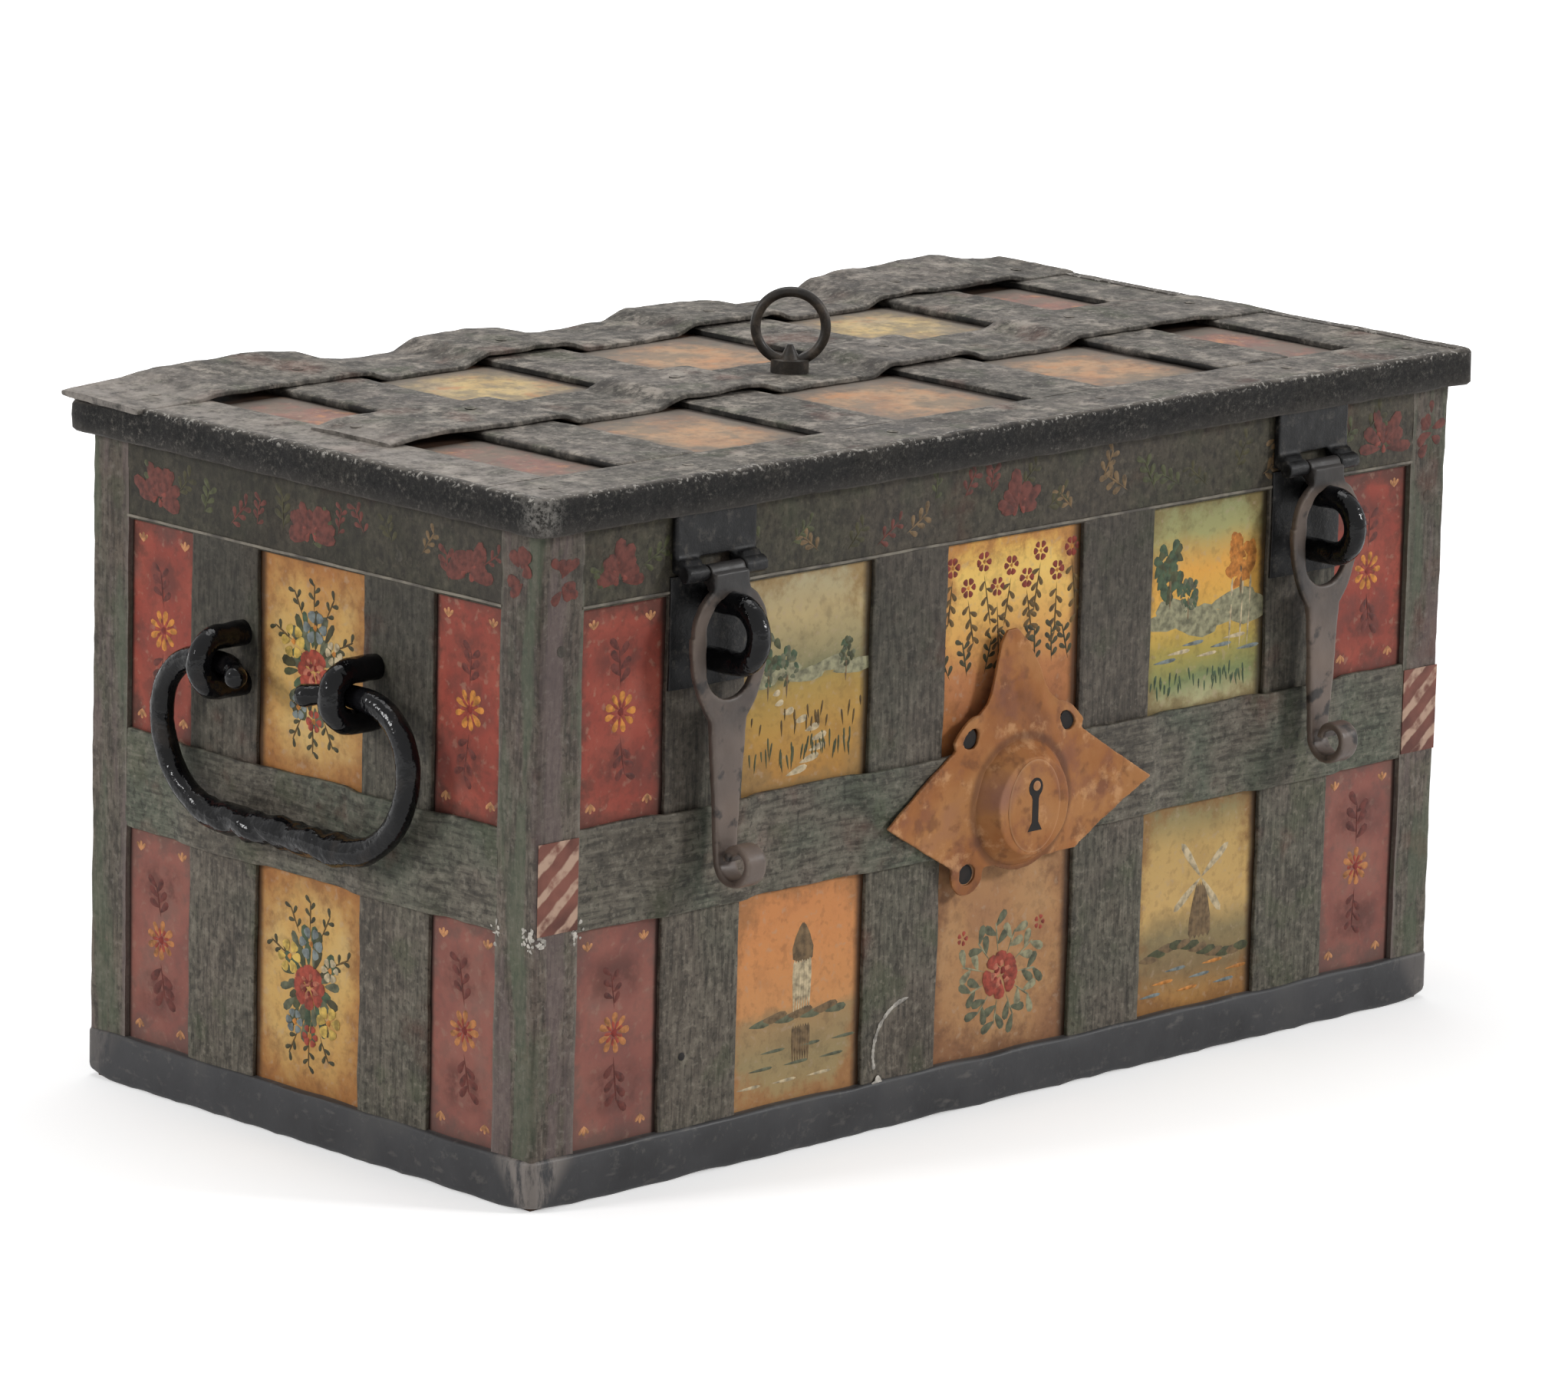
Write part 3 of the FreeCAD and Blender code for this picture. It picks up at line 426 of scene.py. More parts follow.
def strap_paint(name, tones, streak_way, fleck, fleck_share, soot, sides=0.0, blotch=0.0):
    """Old grey paint on iron: clouds, a close mottle, short streaks one way, pale flecks and rubbed edges.
    soot is painted shade, darkening it towards the lid and a quarter more on the left end face; sides is painted
    shade on the strap's thin side faces, darkest on those facing -X; blotch breaks it up in patches."""
    finish = Finish(name, shine=0.22)
    cloud, grain = finish.noise(12.0, 6.0), finish.noise(360.0, 3.0)
    streak, mottle = finish.noise(130.0, 5.0, streak_way, 0.65), finish.noise(170.0, 6.0, None, 0.72)
    dark = (34, 31, 28)
    finish.ground(cloud, *((at, *tone) for at, tone in zip((0.3, 0.42, 0.55, 0.7), tones)))
    finish.coats((mottle, 0.54, 0.36, 0.42, dark), (streak, 0.54, 0.36, 0.6, dark))
    if blotch:
        broken = finish.noise(64.0, 6.0, None, 0.7)
        finish.coats((broken, 0.5, 0.38, blotch, (54, 50, 47)), (broken, 0.53, 0.66, blotch, (186, 176, 164)))
    finish.coats(
        (finish.noise(24.0), 0.58, 0.72, 0.4, (112, 66, 56)), (finish.noise(40.0, 5.0), 0.56, 0.68, 0.35, (74, 82, 58)),
        (mottle, 0.54, 0.68, fleck_share, fleck), (streak, 0.55, 0.7, fleck_share, fleck),
        (grain, 0.44, 0.32, 0.55, dark), (grain, 0.57, 0.68, fleck_share, fleck))
    finish.over(finish.arris(0.53, 0.62), 0.35, fleck)
    along, _, height = finish.parts(finish.place)
    # Painted shade: darker from 100 mm up towards the lid, and a quarter more on the left end face.
    thick = finish.scaled(finish.step(along, *end_face), soot * 0.25, soot)
    finish.coats((height, 100 * mm, 260 * mm, thick, dark))
    # Painted shade on the thin side faces: near black on those facing -X, fainter on the others, broken up unevenly.
    if sides:
        way, _, tip = finish.facing()
        share = finish.scaled(finish.step(way, -0.2, -0.6), sides * 0.6, sides * 0.4)
        uneven = finish.scaled(finish.patches(0.38, 0.56, 34.0), 0.55, 0.45)
        finish.coats((tip, 0.8, 0.4, finish.times(share, uneven), (16, 15, 14)))
    finish.rough(cloud, 0.5, 0.75)
    finish.relief(mottle, 0.0008, 0.5)
    finish.relief(grain, 0.0003, 0.55)
    return finish


upright_paint = strap_paint("streaked_grey_paint", (
    (76, 69, 60), (102, 94, 84), (94, 91, 80), (112, 102, 90)), (4.0, 4.0, 0.5), (148, 140, 126), 0.3, 0.5)

strap = Shape("forged_strap", Width=45 * mm, Thickness=3 * mm, Across=11, Wobble=2.4 * mm, Dents=0.7 * mm, Seed=1.0)
given = strap.given
spot = strap.out("GeometryNodeInputPosition")
edge_power = 7.0
terms = []
for part, size in zip(strap.parts(spot), (given["Width"], given["Thickness"])):
    share = strap.math("DIVIDE", strap.times(part, 2.0), size)
    terms.append(strap.math("POWER", strap.math("ABSOLUTE", share), edge_power))
draw_in = strap.math("POWER", strap.math("ADD", *terms), -1 / edge_power)
soft_spot = strap.out("ShaderNodeVectorMath", {0: spot, "Scale": draw_in}, operation="SCALE")
bar_end = strap.out("GeometryNodeCurvePrimitiveQuadrilateral", {
    "Width": given["Width"], "Height": given["Thickness"]}, mode="RECTANGLE")
bar_end = strap.out("GeometryNodeSubdivideCurve", {"Curve": bar_end, "Cuts": given["Across"]})
bar_end = strap.moved(bar_end, Position=soft_spot)
run = strap.out("GeometryNodeMeshToCurve", {0: given["Base"]})
run = strap.out("GeometryNodeSetCurveNormal", {"Curve": run}, mode="Z_UP")
bar = strap.out("GeometryNodeCurveToMesh", {"Curve": run, "Profile Curve": bar_end, "Fill Caps": True})
at = strap.seeded()
bends = strap.times(strap.noise(at, 26.0), given["Wobble"])
nicks = strap.times(strap.noise(at, 150.0), strap.times(given["Wobble"], 0.35))
dents = strap.times(strap.noise(at, 62.0, 3.0), given["Dents"])
shift = strap.out("ShaderNodeCombineXYZ", {1: strap.math("ADD", bends, nicks), 2: dents})
strap.close(strap.moved(bar, Offset=shift))

# Straps are grown lying flat: along X, across Y, with their face up. These turns lay them on a wall.
stand_up = Matrix(((0, -1, 0, 0), (0, 0, -1, 0), (1, 0, 0, 0), (0, 0, 0, 1)))
lie_along = Matrix(((1, 0, 0, 0), (0, 0, -1, 0), (0, 1, 0, 0), (0, 0, 0, 1)))


def turned(wall, lie):
    return Matrix.Rotation(math.radians(walls[wall][0]), 4, "Z") @ lie


def flat(along):
    return 0.0


def strap_run(start, end, across, level, lift=flat, step=4 * mm):
    count = max(2, round((end - start) / step))
    spots = [start + (end - start) * number / count for number in range(count + 1)]
    return [Vector((s, across, level + lift(s))) for s in spots]


def straps(name, finish, runs, place=None, **sizes):
    verts, edges = [], []
    for run in runs:
        edges += [(len(verts) + n, len(verts) + n + 1) for n in range(len(run) - 1)]
        verts += run
    return grown(name, strap, finish, verts, edges, place=place, **sizes)


upright_low, upright_high = 21 * mm, 253 * mm
long_uprights, end_uprights = (-184.8 * mm, -64.4 * mm, 64.4 * mm, 184.8 * mm), (-55.1 * mm, 55.1 * mm)
long_width, end_width = 45 * mm, 43 * mm
uprights = {wall: (long_uprights, long_width) for wall in long_walls}
uprights.update({wall: (end_uprights, end_width) for wall in end_walls})
for number, (wall, (_, face, _)) in enumerate(walls.items()):
    places, width = uprights[wall]
    runs = [strap_run(upright_low, upright_high, -s, face - strap_deep / 2) for s in places]
    fit(straps(wall + "_upright_straps", upright_paint, runs, turned(wall, stand_up), Width=width, Seed=number + 1.0),
        "chest", "strap_paint", wall + "_uprights")

# Corner angles: iron bent to a right angle over the meeting sheets, from the skirt to the lid. Their edges
# are worn round and pale where the box has been knocked.
corner_leg, corner_round = 24 * mm, 2.2 * mm
leg_foot, leg_rim = 9 * mm, 20 * mm


def loft(name, finish, loops, ring=False):
    """A closed skin over a row of loops. A ring joins the last loop to the first; otherwise ends are capped."""
    work = bmesh.new()
    rings = [[work.verts.new(spot) for spot in loop] for loop in loops]
    count = len(rings[0])
    for low, high in list(zip(rings, rings[1:])) + ([(rings[-1], rings[0])] if ring else []):
        for n in range(count):
            work.faces.new((low[n], low[(n + 1) % count], high[(n + 1) % count], high[n]))
    if not ring:
        work.faces.new(rings[0][::-1])
        work.faces.new(rings[-1])
    bmesh.ops.recalc_face_normals(work, faces=work.faces)
    mesh = meshed(name, work)
    mesh.materials.append(finish.material)
    mesh.shade_smooth()
    mesh.set_sharp_from_angle(angle=crease)
    return placed(name, mesh)


def rise(spot, size, depth, seed):
    return depth * noise.noise(spot / size + Vector((seed, 2 * seed, 3 * seed)))


def angle_section():
    """The bent section, as distances in from its outer corner along either face."""
    count = 6
    face = [corner_round + (corner_leg - corner_round) * n / count for n in range(count + 1)]
    bend = [math.radians(90 * n / 4) for n in range(1, 4)]
    outer = [(a, 0.0) for a in face[::-1]]
    outer += [(corner_round * (1 - math.sin(t)), corner_round * (1 - math.cos(t))) for t in bend]
    outer += [(0.0, b) for b in face]
    return outer + [(strap_deep, corner_leg), (strap_deep, strap_deep), (corner_leg, strap_deep)]


leg_paint = strap_paint("corner_grey_paint", (
    (84, 74, 66), (108, 97, 87), (98, 92, 82), (118, 106, 94)), (4.0, 4.0, 0.5), (156, 148, 138), 0.24, 0.25)
veil = leg_paint.noise(36.0, 4.0, (2.0, 2.0, 0.25))
leg_paint.coats((veil, 0.5, 0.62, 0.5, (84, 94, 76)), (veil, 0.48, 0.37, 0.5, (108, 93, 92)))
levels = [leg_foot + (wall_height - leg_foot) * n / 60 for n in range(61)]
for number, (name, sx, sy) in enumerate((
        ("front_left", -1, -1), ("front_right", 1, -1), ("back_right", 1, 1), ("back_left", -1, 1))):
    loops = []
    for z in levels:
        loop = []
        for a, b in angle_section():
            spot = Vector((sx * (half_length - a), sy * (half_depth - b), z))
            worn = rise(spot, 9 * mm, 0.3 * mm, number) + rise(spot, 40 * mm, 0.3 * mm, number + 7)
            for axis, (deep, way, seed) in enumerate(((a, sx, 3), (b, sy, 5))):
                rim = rise(spot, 30 * mm, 0.7 * mm, number + seed) if deep > leg_rim else 0.0
                spot[axis] += way * (worn if deep < strap_deep else rim)
            loop.append(spot)
        loops.append(loop)
    fit(loft(name + "_corner_skin", leg_paint, loops), "chest", "strap_paint", name + "_corner_angle")

# Base bands: a smooth charcoal skirt of slightly thicker bar, bent right round the foot over the corner
# angles and worn at its corners. Top bands: wide straps under the lid, with a thin pale line just above
# their lower edge as a painted highlight.
skirt = Finish("charcoal_skirt_paint", roughness=0.5, shine=0.3)
soft = skirt.noise(30.0, 5.0)
skirt.ground(soft, (0.3, 40, 40, 42), (0.55, 56, 56, 58), (0.75, 72, 71, 70))
skirt.over(skirt.patches(0.6, 0.75, 75.0, 5.0, (1.0, 1.0, 3.0)), 0.5, (104, 100, 96))
skirt.over(skirt.arris(0.53, 0.62), 0.5, (112, 106, 100))
skirt.over(skirt.patches(0.56, 0.7, 170.0, 6.0, None, 0.7), 0.3, (112, 108, 102))
x, y, z = skirt.parts(skirt.place)
reach = skirt.math("ADD", skirt.math("ABSOLUTE", x), skirt.math("ABSOLUTE", y))
from_arris = skirt.math("SUBTRACT", half_length + half_depth, reach)
near_corner = skirt.times(skirt.step(x, 0.0, -50 * mm), skirt.step(y, 0.0, -50 * mm))
taper = skirt.scaled(z, 0.8, 7 * mm)
bared = skirt.times(
    skirt.step(skirt.math("DIVIDE", from_arris, taper), 1.1, 0.3),
    skirt.patches(0.36, 0.56, 170.0, 6.0, (1.0, 1.0, 0.25), 0.7))
skirt.over(bared, skirt.scaled(near_corner, 0.55, 0.3), (134, 126, 120))
skirt.rough(soft, 0.38, 0.6)
skirt.relief(skirt.noise(210.0), 0.0003, 0.5)
band_paint = strap_paint("top_band_paint", (
    (72, 65, 56), (92, 84, 72), (86, 83, 68), (102, 92, 80)), (2.0, 2.0, 1.0), (136, 126, 108), 0.3, 0.45)
# Painted shade: dark patches on the left end face only, for the shade under the lid's overhang there.
end_shade_patches = band_paint.patches(0.36, 0.56, 26.0, 5.0)
on_end = band_paint.step(band_paint.parts(band_paint.place)[0], *end_face)
band_paint.over(band_paint.times(end_shade_patches, on_end), 0.42, (38, 36, 30))
base_tall, top_low = 22 * mm, 252 * mm


def along_wall(wall, across, out=-strap_deep / 2, lift=flat):
    """The line of a strap that runs from one corner angle to the other."""
    _, face, span = walls[wall]
    reach = span - corner_leg + 0.5 * mm
    return strap_run(-reach, reach, across, face + out, lift)


def round_path(half_x, half_y, bend=5 * mm, step=5 * mm):
    """Points and outward ways round a rectangle with rounded corners."""
    spots = []
    for turn, sx, sy in ((0, 1, -1), (90, 1, 1), (180, -1, 1), (270, -1, -1)):
        centre = Vector((sx * (half_x - bend), sy * (half_y - bend), 0))
        for n in range(7):
            angle = math.radians(turn - 90 + 15 * n)
            way = Vector((math.cos(angle), math.sin(angle), 0))
            spots.append((centre + bend * way, way))
    path = []
    for (here, way), (after, next_way) in zip(spots, spots[1:] + spots[:1]):
        count = max(1, round((after - here).length / step))
        path += [(here.lerp(after, n / count), way.lerp(next_way, n / count).normalized()) for n in range(count)]
    return path


skirt_proud, skirt_deep, wear_run = 1.4 * mm, 4.4 * mm, 18 * mm
loops = []
for spot, way in round_path(half_length + skirt_proud, half_depth + skirt_proud):
    arris = max(1 - (half_length + half_depth - abs(spot.x) - abs(spot.y)) / wear_run, 0.0)
    most = 1 * mm if spot.x < 0 and spot.y < 0 else 3 * mm
    worn = most * arris * arris + abs(rise(spot, 22 * mm, 1.6 * mm, 87.0))
    section = (
        (1.4 * mm, worn), (0.4 * mm, worn + 0.8 * mm), (0, worn + 2.4 * mm), (0, base_tall * 0.55),
        (0, base_tall - 1.6 * mm), (0.5 * mm, base_tall - 0.4 * mm), (1.4 * mm, base_tall),
        (skirt_deep, base_tall), (skirt_deep, worn))
    loop = []
    for deep, z in section:
        point = spot - way * deep + Vector((0, 0, z))
        if deep < 1 * mm:
            point += way * (rise(point, 12 * mm, 0.4 * mm, 81.0) + rise(point, 40 * mm, 0.5 * mm, 83.0))
        if z > base_tall - 1 * mm:
            point.z += rise(point, 25 * mm, 0.8 * mm, 85.0)
        loop.append(point)
    loops.append(loop)
fit(loft("base_skirt", skirt, loops, ring=True), "chest", "base_paint", "base_bands")
# Painted highlight: a thin pale bead just above each top band's lower edge.
edge_highlight_paint = Finish("lower_edge_highlight_paint")
edge_highlight_paint.ground(edge_highlight_paint.noise(90.0), (0.4, 66, 60, 53), (0.62, 122, 115, 102))
tops, lines = [], []
for number, wall in enumerate(walls):
    band = along_wall(wall, (top_low + wall_height) / 2)
    tops.append(straps(
        wall + "_top", band_paint, [band], turned(wall, lie_along), Width=wall_height - top_low,
        Thickness=strap_deep, Wobble=0.5 * mm, Dents=0.6 * mm, Seed=number + 21.0))
    line = along_wall(wall, top_low + 1.6 * mm, -0.1 * mm)
    lines.append(straps(
        wall + "_line", edge_highlight_paint, [line], turned(wall, lie_along), Width=1.2 * mm,
        Thickness=0.9 * mm, Across=2, Wobble=0.9 * mm, Dents=0.4 * mm, Seed=number + 31.0))
fit(joined("top_straps", tops), "chest", "strap_paint", "top_bands")
fit(joined("top_band_lines", lines), "chest", "strap_paint")

# Middle bands: one strap along each wall, jogged outward over every upright that it crosses and riveted
# there. The paint has worn in streaks along the strap.
middle_low, middle_wide = 115.9 * mm, 44 * mm
jog, jog_ramp = 3 * mm, 11 * mm


def clamped(value):
    return min(max(value, 0.0), 1.0)


def eased(value):
    share = clamped(value)
    return share * share * (3 - 2 * share)


def jogged(places, width):
    def lift(along):
        away = min(abs(along - place) for place in places) - width / 2
        return jog * eased(1 - away / jog_ramp)
    return lift


middle_paint = strap_paint("middle_band_paint", (
    (80, 74, 65), (106, 100, 89), (92, 96, 83), (118, 107, 97)), (0.5, 0.5, 4.0), (148, 142, 128), 0.3, 0.35)
for number, wall in enumerate(walls):
    run = along_wall(wall, middle_low + middle_wide / 2, lift=jogged(*uprights[wall]))
    fit(straps(wall + "_middle_strap", middle_paint, [run], turned(wall, lie_along), Width=middle_wide,
               Seed=number + 41.0), "chest", "strap_paint", wall + "_middle_band")
dress(upright_paint, "wall_rivets")

# Corner patches: where the middle band meets the front corners, a square of thin sheet is laid over the
# angle, painted in slanting cream stripes on red, and worn through at its rim.
striped = Finish("striped_patch_paint", shine=0.25)
x, _, z = striped.parts(striped.place)
slant = striped.math("ADD", striped.times(x, 62.0), striped.times(z, -78.0))
slant = striped.scaled(striped.noise(110.0, 3.0), 0.35, slant)
cream = striped.step(striped.math("PINGPONG", slant, 0.5), 0.24, 0.34)
striped.ground(striped.noise(60.0, 5.0), (0.35, 92, 56, 48), (0.65, 130, 82, 70))
striped.over(cream, striped.patches(0.3, 0.55, 140.0), (182, 152, 132))
striped.relief(striped.noise(240.0), 0.0003, 0.6)
patch_low, patch_high, patch_level = 118, 157, 0.15
patches = [("front", *edges, patch_low, patch_high) for edges in mirrored(256.6, 279)]
wall_fields("corner_patches", striped, patches, 9.0, patch_level, 0.0)

# Painted flowers, leaves and little views: oil colour laid on with single touches of a small brush, each
# touch a low bead of paint. Rosettes on the red fields, bouquets on the ochre ones, views on the front.
bead = Shape("brush_daub", Taper=0.55)
x, y, z = bead.parts(bead.out("GeometryNodeInputPosition"))
swell = bead.scaled(bead.times(x, 2.0), bead.given["Taper"], 1.0)
drop = bead.out("ShaderNodeCombineXYZ", {0: x, 1: bead.times(y, swell), 2: z})
ball = bead.out("GeometryNodeMeshUVSphere", {"Segments": 10, "Rings": 4, "Radius": 0.5})
lie, size = (
    bead.out("GeometryNodeInputNamedAttribute", {"Name": mark}, data_type="FLOAT_VECTOR") for mark in ("lie", "size"))
bead.close(bead.out("GeometryNodeInstanceOnPoints", {
    "Points": bead.given["Base"], "Instance": bead.moved(ball, Position=drop), "Rotation": lie, "Scale": size}))

pigments = {
    "marigold": (206, 136, 64), "pale_gold": (196, 140, 96), "dull_gold": (184, 122, 74), "madder": (128, 46, 38),
    "soot": (104, 54, 47), "leaf_dark": (70, 66, 44), "leaf_grey": (100, 102, 80), "leaf_brown": (100, 78, 44),
    "rose": (162, 74, 58), "blush": (192, 116, 92), "slate": (126, 134, 132), "lemon": (212, 178, 92),
    "wine": (130, 54, 42), "faded_red": (104, 58, 50), "faded_rose": (128, 68, 58), "moss": (78, 80, 54),
    "cream": (198, 180, 146), "pine": (74, 90, 66), "flame": (194, 124, 56), "haze": (150, 146, 116),
    "umber": (120, 98, 70), "filler": (196, 190, 180), "painted_hole_shade": (26, 22, 20),
}
paint_level, over_leaves, bead_deep = -2.55, -2.35, 0.5
hand = random.Random(17)
vary = hand.uniform
strokes = {}


def daub(colour, wall, at, turn, long, wide, out=paint_level):
    """One touch of the brush. Its place is a complex number, along the wall and up it; turn is its slant."""
    lie = Matrix.Identity(3)
    for axis, angle in (("Z", walls[wall][0]), ("X", 90), ("Z", turn)):
        lie = lie @ Matrix.Rotation(math.radians(angle), 3, axis)
    size = (long * mm, wide * mm, bead_deep * mm)
    strokes.setdefault(colour, []).append((on_wall(wall, at.real, out, at.imag), lie.to_euler(), size))


def around(turn, reach, tall=None):
    """A step away from a middle at an angle in degrees."""
    way = math.radians(turn)
    return complex(reach * math.cos(way), (reach if tall is None else tall) * math.sin(way))


def ring_of(colour, wall, at, count, reach, wide, start=0, out=paint_level):
    """Petals round a heart: each touch starts at the middle and is pulled outward."""
    for n in range(count):
        turn = start + 360 * n / count + vary(-7, 7)
        long = reach * vary(0.62, 0.82)
        daub(colour, wall, at + around(turn, reach - long / 2), turn, long, wide * vary(0.85, 1.15), out)


def twig(colour, wall, at, turn, length, leaves, leaf, leaf_colour=None, out=paint_level):
    """A thin stem with leaves leaving it by turns to either side."""
    stem = around(turn, length)
    daub(colour, wall, at + stem / 2, turn, length, 0.9, out)
    for n in range(leaves):
        lean = turn + (48 if n % 2 else -48) + vary(-12, 12)
        place = at + stem * (n + 1) / (leaves + 0.5) + around(lean, leaf * 0.5)
        daub(leaf_colour or colour, wall, place, lean, leaf, leaf * 0.42, out)


def rose_head(wall, at, size):
    for colour, up, count, reach, wide, start in (
            ("rose", 0, 8, 1, 0.62, 0), ("blush", 0.1, 6, 0.72, 0.36, 20), ("madder", -0.05, 5, 0.42, 0.26, 50)):
        ring_of(colour, wall, at + size * up * 1j, count, size * reach, size * wide, start, over_leaves)
    daub("blush", wall, at + size * (-0.12 + 0.12j), 40, size * 0.36, size * 0.2, over_leaves)


def bouquet(wall, at, wide=36, tall=66):
    for n in range(34):
        turn, share = 360 * n / 34 + vary(-9, 9), (0.95, 0.6)[n % 2]
        off = around(turn, share * wide * 0.42, share * tall * 0.34)
        daub(hand.choice(("leaf_dark", "leaf_grey", "pine", "moss")), wall, at + off,
             math.degrees(math.atan2(off.imag, off.real)), vary(8, 12), vary(3, 4.6))
    for turn in (62, 90, 118, 242, 270, 298, 25, 155):
        twig("leaf_brown", wall, at + around(turn, wide * 0.4, tall * 0.36), turn, tall * 0.2, 4, 4.5, "leaf_dark")
    for along, up, colour, size in (
            (0.02, 0.27, "slate", 7.5), (-0.36, 0.15, "lemon", 7.5), (0.34, -0.22, "lemon", 7.5),
            (-0.26, -0.27, "slate", 5.5), (0.36, 0.13, "cream", 5.5), (0.02, -0.34, "rose", 5)):
        place = at + complex(along * wide, up * tall)
        ring_of(colour, wall, place, 6, size, size * 0.6, 0, over_leaves)
        daub("marigold", wall, place, 0, 2.6, 2.6, over_leaves)
    rose_head(wall, at - tall * 0.02j, 10)


for wall, left, right, low, high in red_spots:
    at, half, tall = complex(left + right, low + high) / 2, (right - left) / 2, (high - low) / 2
    for way in (1, -1):
        lean = vary(-14, 14)
        twig("soot", wall, at + way * 10j, way * 90 + lean, tall * vary(0.3, 0.45), 6, vary(6, 9))
    ring_of("dull_gold" if (low, high) == rows[0] else "marigold", wall, at, 9, 9, 2.8)
    ring_of("rose", wall, at, 9, 5.5, 1.6, 20)
    daub("madder", wall, at, 0, 3.6, 3.6)
    for side, end, lean in itertools.product((-1, 1), (-1, 1), (-40, 0, 40)):
        corner, turn = at + complex(side * half * 0.66, end * tall * 0.8), 90 * end + lean
        daub("pale_gold", wall, corner + around(turn, 2), turn, 4.6, 1.5)
for wall, left, right, low, high in ochre_spots:
    bouquet(wall, complex(left + right, low + high) / 2)
for wall, left, right, low, high in straw_spots:
    for n in range(9):
        along = left + (right - left) * (n + 0.5) / 9 + vary(-1.5, 1.5)
        at = complex(along, high - (9 + 9 * (n % 2) + vary(0, 5)))
        ring_of("wine", wall, at, 6, 4.6, 2.8)
        daub("marigold", wall, at, 0, 1.8, 1.8)
        twig("leaf_brown", wall, at - 5j, -90 + vary(-14, 14), vary(20, 30), 7, 5.2)
    for n in range(8):
        at = complex(left + (right - left) * (n + 0.5) / 8, low + 32)
        twig("leaf_dark", wall, at, 90 + vary(-30, 30), 17, 6, 5)
for wall, left, right, low, _ in honey_spots:
    at = complex((left + right) / 2, low + 34)
    for turn in (360 * n / 11 for n in range(11)):
        twig("haze", wall, at + around(turn, 10), turn, vary(10, 16), 3, 9, hand.choice(("leaf_grey", "haze")))
    rose_head(wall, at, 11)
    for side in (-24, 24):
        ring_of("rose", wall, at + side + 20j, 5, 3.4, 2.2)


def touch(colour, view, at, *slant_and_size):
    """A touch on one of the front's views, placed from the view's lower left corner."""
    (left, _), (low, _), *_ = views[view]
    daub(colour, "front", complex(left, low) + at, *slant_and_size)


def tree(view, at, size, colours, count=26):
    touch("umber", view, at - size * 0.55j, 90, size * 1.1, 1.6)
    for _ in range(count):
        turn, off = vary(0, 360), size * math.sqrt(hand.random()) * 0.6
        leaf = hand.choice(colours)
        touch(leaf, view, at + around(turn, off * 0.7, off), vary(20, 160), size * 0.34, size * 0.2)


def grass(view, up, colour, count, tall, rim=3):
    left, right = views[view][0]
    for _ in range(count):
        along = rim + (right - left - 2 * rim) * hand.random()
        touch(colour, view, complex(along, up + vary(-0.5, 0.5) * tall), 90 + vary(-12, 12), tall * vary(0.6, 1.1), 1.1)


for n in range(5):
    touch("haze", "hill_view", complex(10 + 14 * n, 47 + 3 * (n % 2)), 4, 24, 6)
for at, size in ((16 + 56j, 17), (27 + 52j, 13), (62 + 53j, 11)):
    tree("hill_view", at, size, ("pine", "moss", "leaf_grey"))
for n in range(9):
    touch("cream", "hill_view", complex(34 + 13 * math.sin(n * 0.6), 6 + 4.4 * n), 12, 13 - n, 3)
grass("hill_view", 14, "moss", 34, 9)
grass("hill_view", 28, "leaf_brown", 22, 7)
for n in range(6):
    at = complex(8 + 12 * n, 40 + 4 * math.sin(n * 1.9))
    touch("haze", "lake_view", at, 175 * (n % 2), 30, 8 + 3 * (n % 3))
tree("lake_view", 14 + 62j, 21, ("pine", "pine", "moss"), 36)
tree("lake_view", 26 + 50j, 13, ("pine", "leaf_grey"), 36)
tree("lake_view", 60 + 62j, 20, ("flame", "marigold", "flame"), 36)
for along in (54, 61, 66):
    touch("cream", "lake_view", along + 38j, 88, 34, 1.5)
for n in range(7):
    touch("cream" if n % 2 else "slate", "lake_view", complex(12 + 9 * n, 22 + 3 * (n % 3)), 2, 15, 1.8)
grass("lake_view", 11, "pine", 40, 7)
for n in range(7):
    touch("cream", "tower_view", 36 + 1.5 * n + 50j, 90, 26, 2.2)
    touch("umber", "tower_view", 36 + 1.5 * n + 24j, 90, 17, 2)
for side in (-1.5, 1.5):
    touch("umber", "tower_view", 40.5 + side + 68j, -90 + 5 * side, 19, 9)
for n in range(10):
    touch("umber" if n % 3 else "leaf_grey", "tower_view", complex(16 + 5 * n, 36 + n % 3), 4, 13, 3.4)
for n in range(9):
    touch("leaf_grey" if n % 3 else "cream", "tower_view", complex(10 + 7 * n, 9 + 7 * (n % 3)), 1, 15, 1.4)
for n in range(5):
    touch("umber", "mill_view", 37 + 2 * n + 43j, -90 + 4 * (n - 2), 26, 4.4)
for turn in (38, 128, 218, 308):
    touch("cream", "mill_view", 41 + 58j + around(turn, 11), turn, 22, 3.6)
for n in range(12):
    touch("moss" if n % 2 else "umber", "mill_view", complex(8 + 5.4 * n, 25 + 4 * math.sin(n * 0.5)), 3, 13, 4)
for n in range(8):
    touch("marigold" if n % 2 else "slate", "mill_view", complex(10 + 8 * n, 8 + 5 * (n % 3)), 2, 14, 1.6)

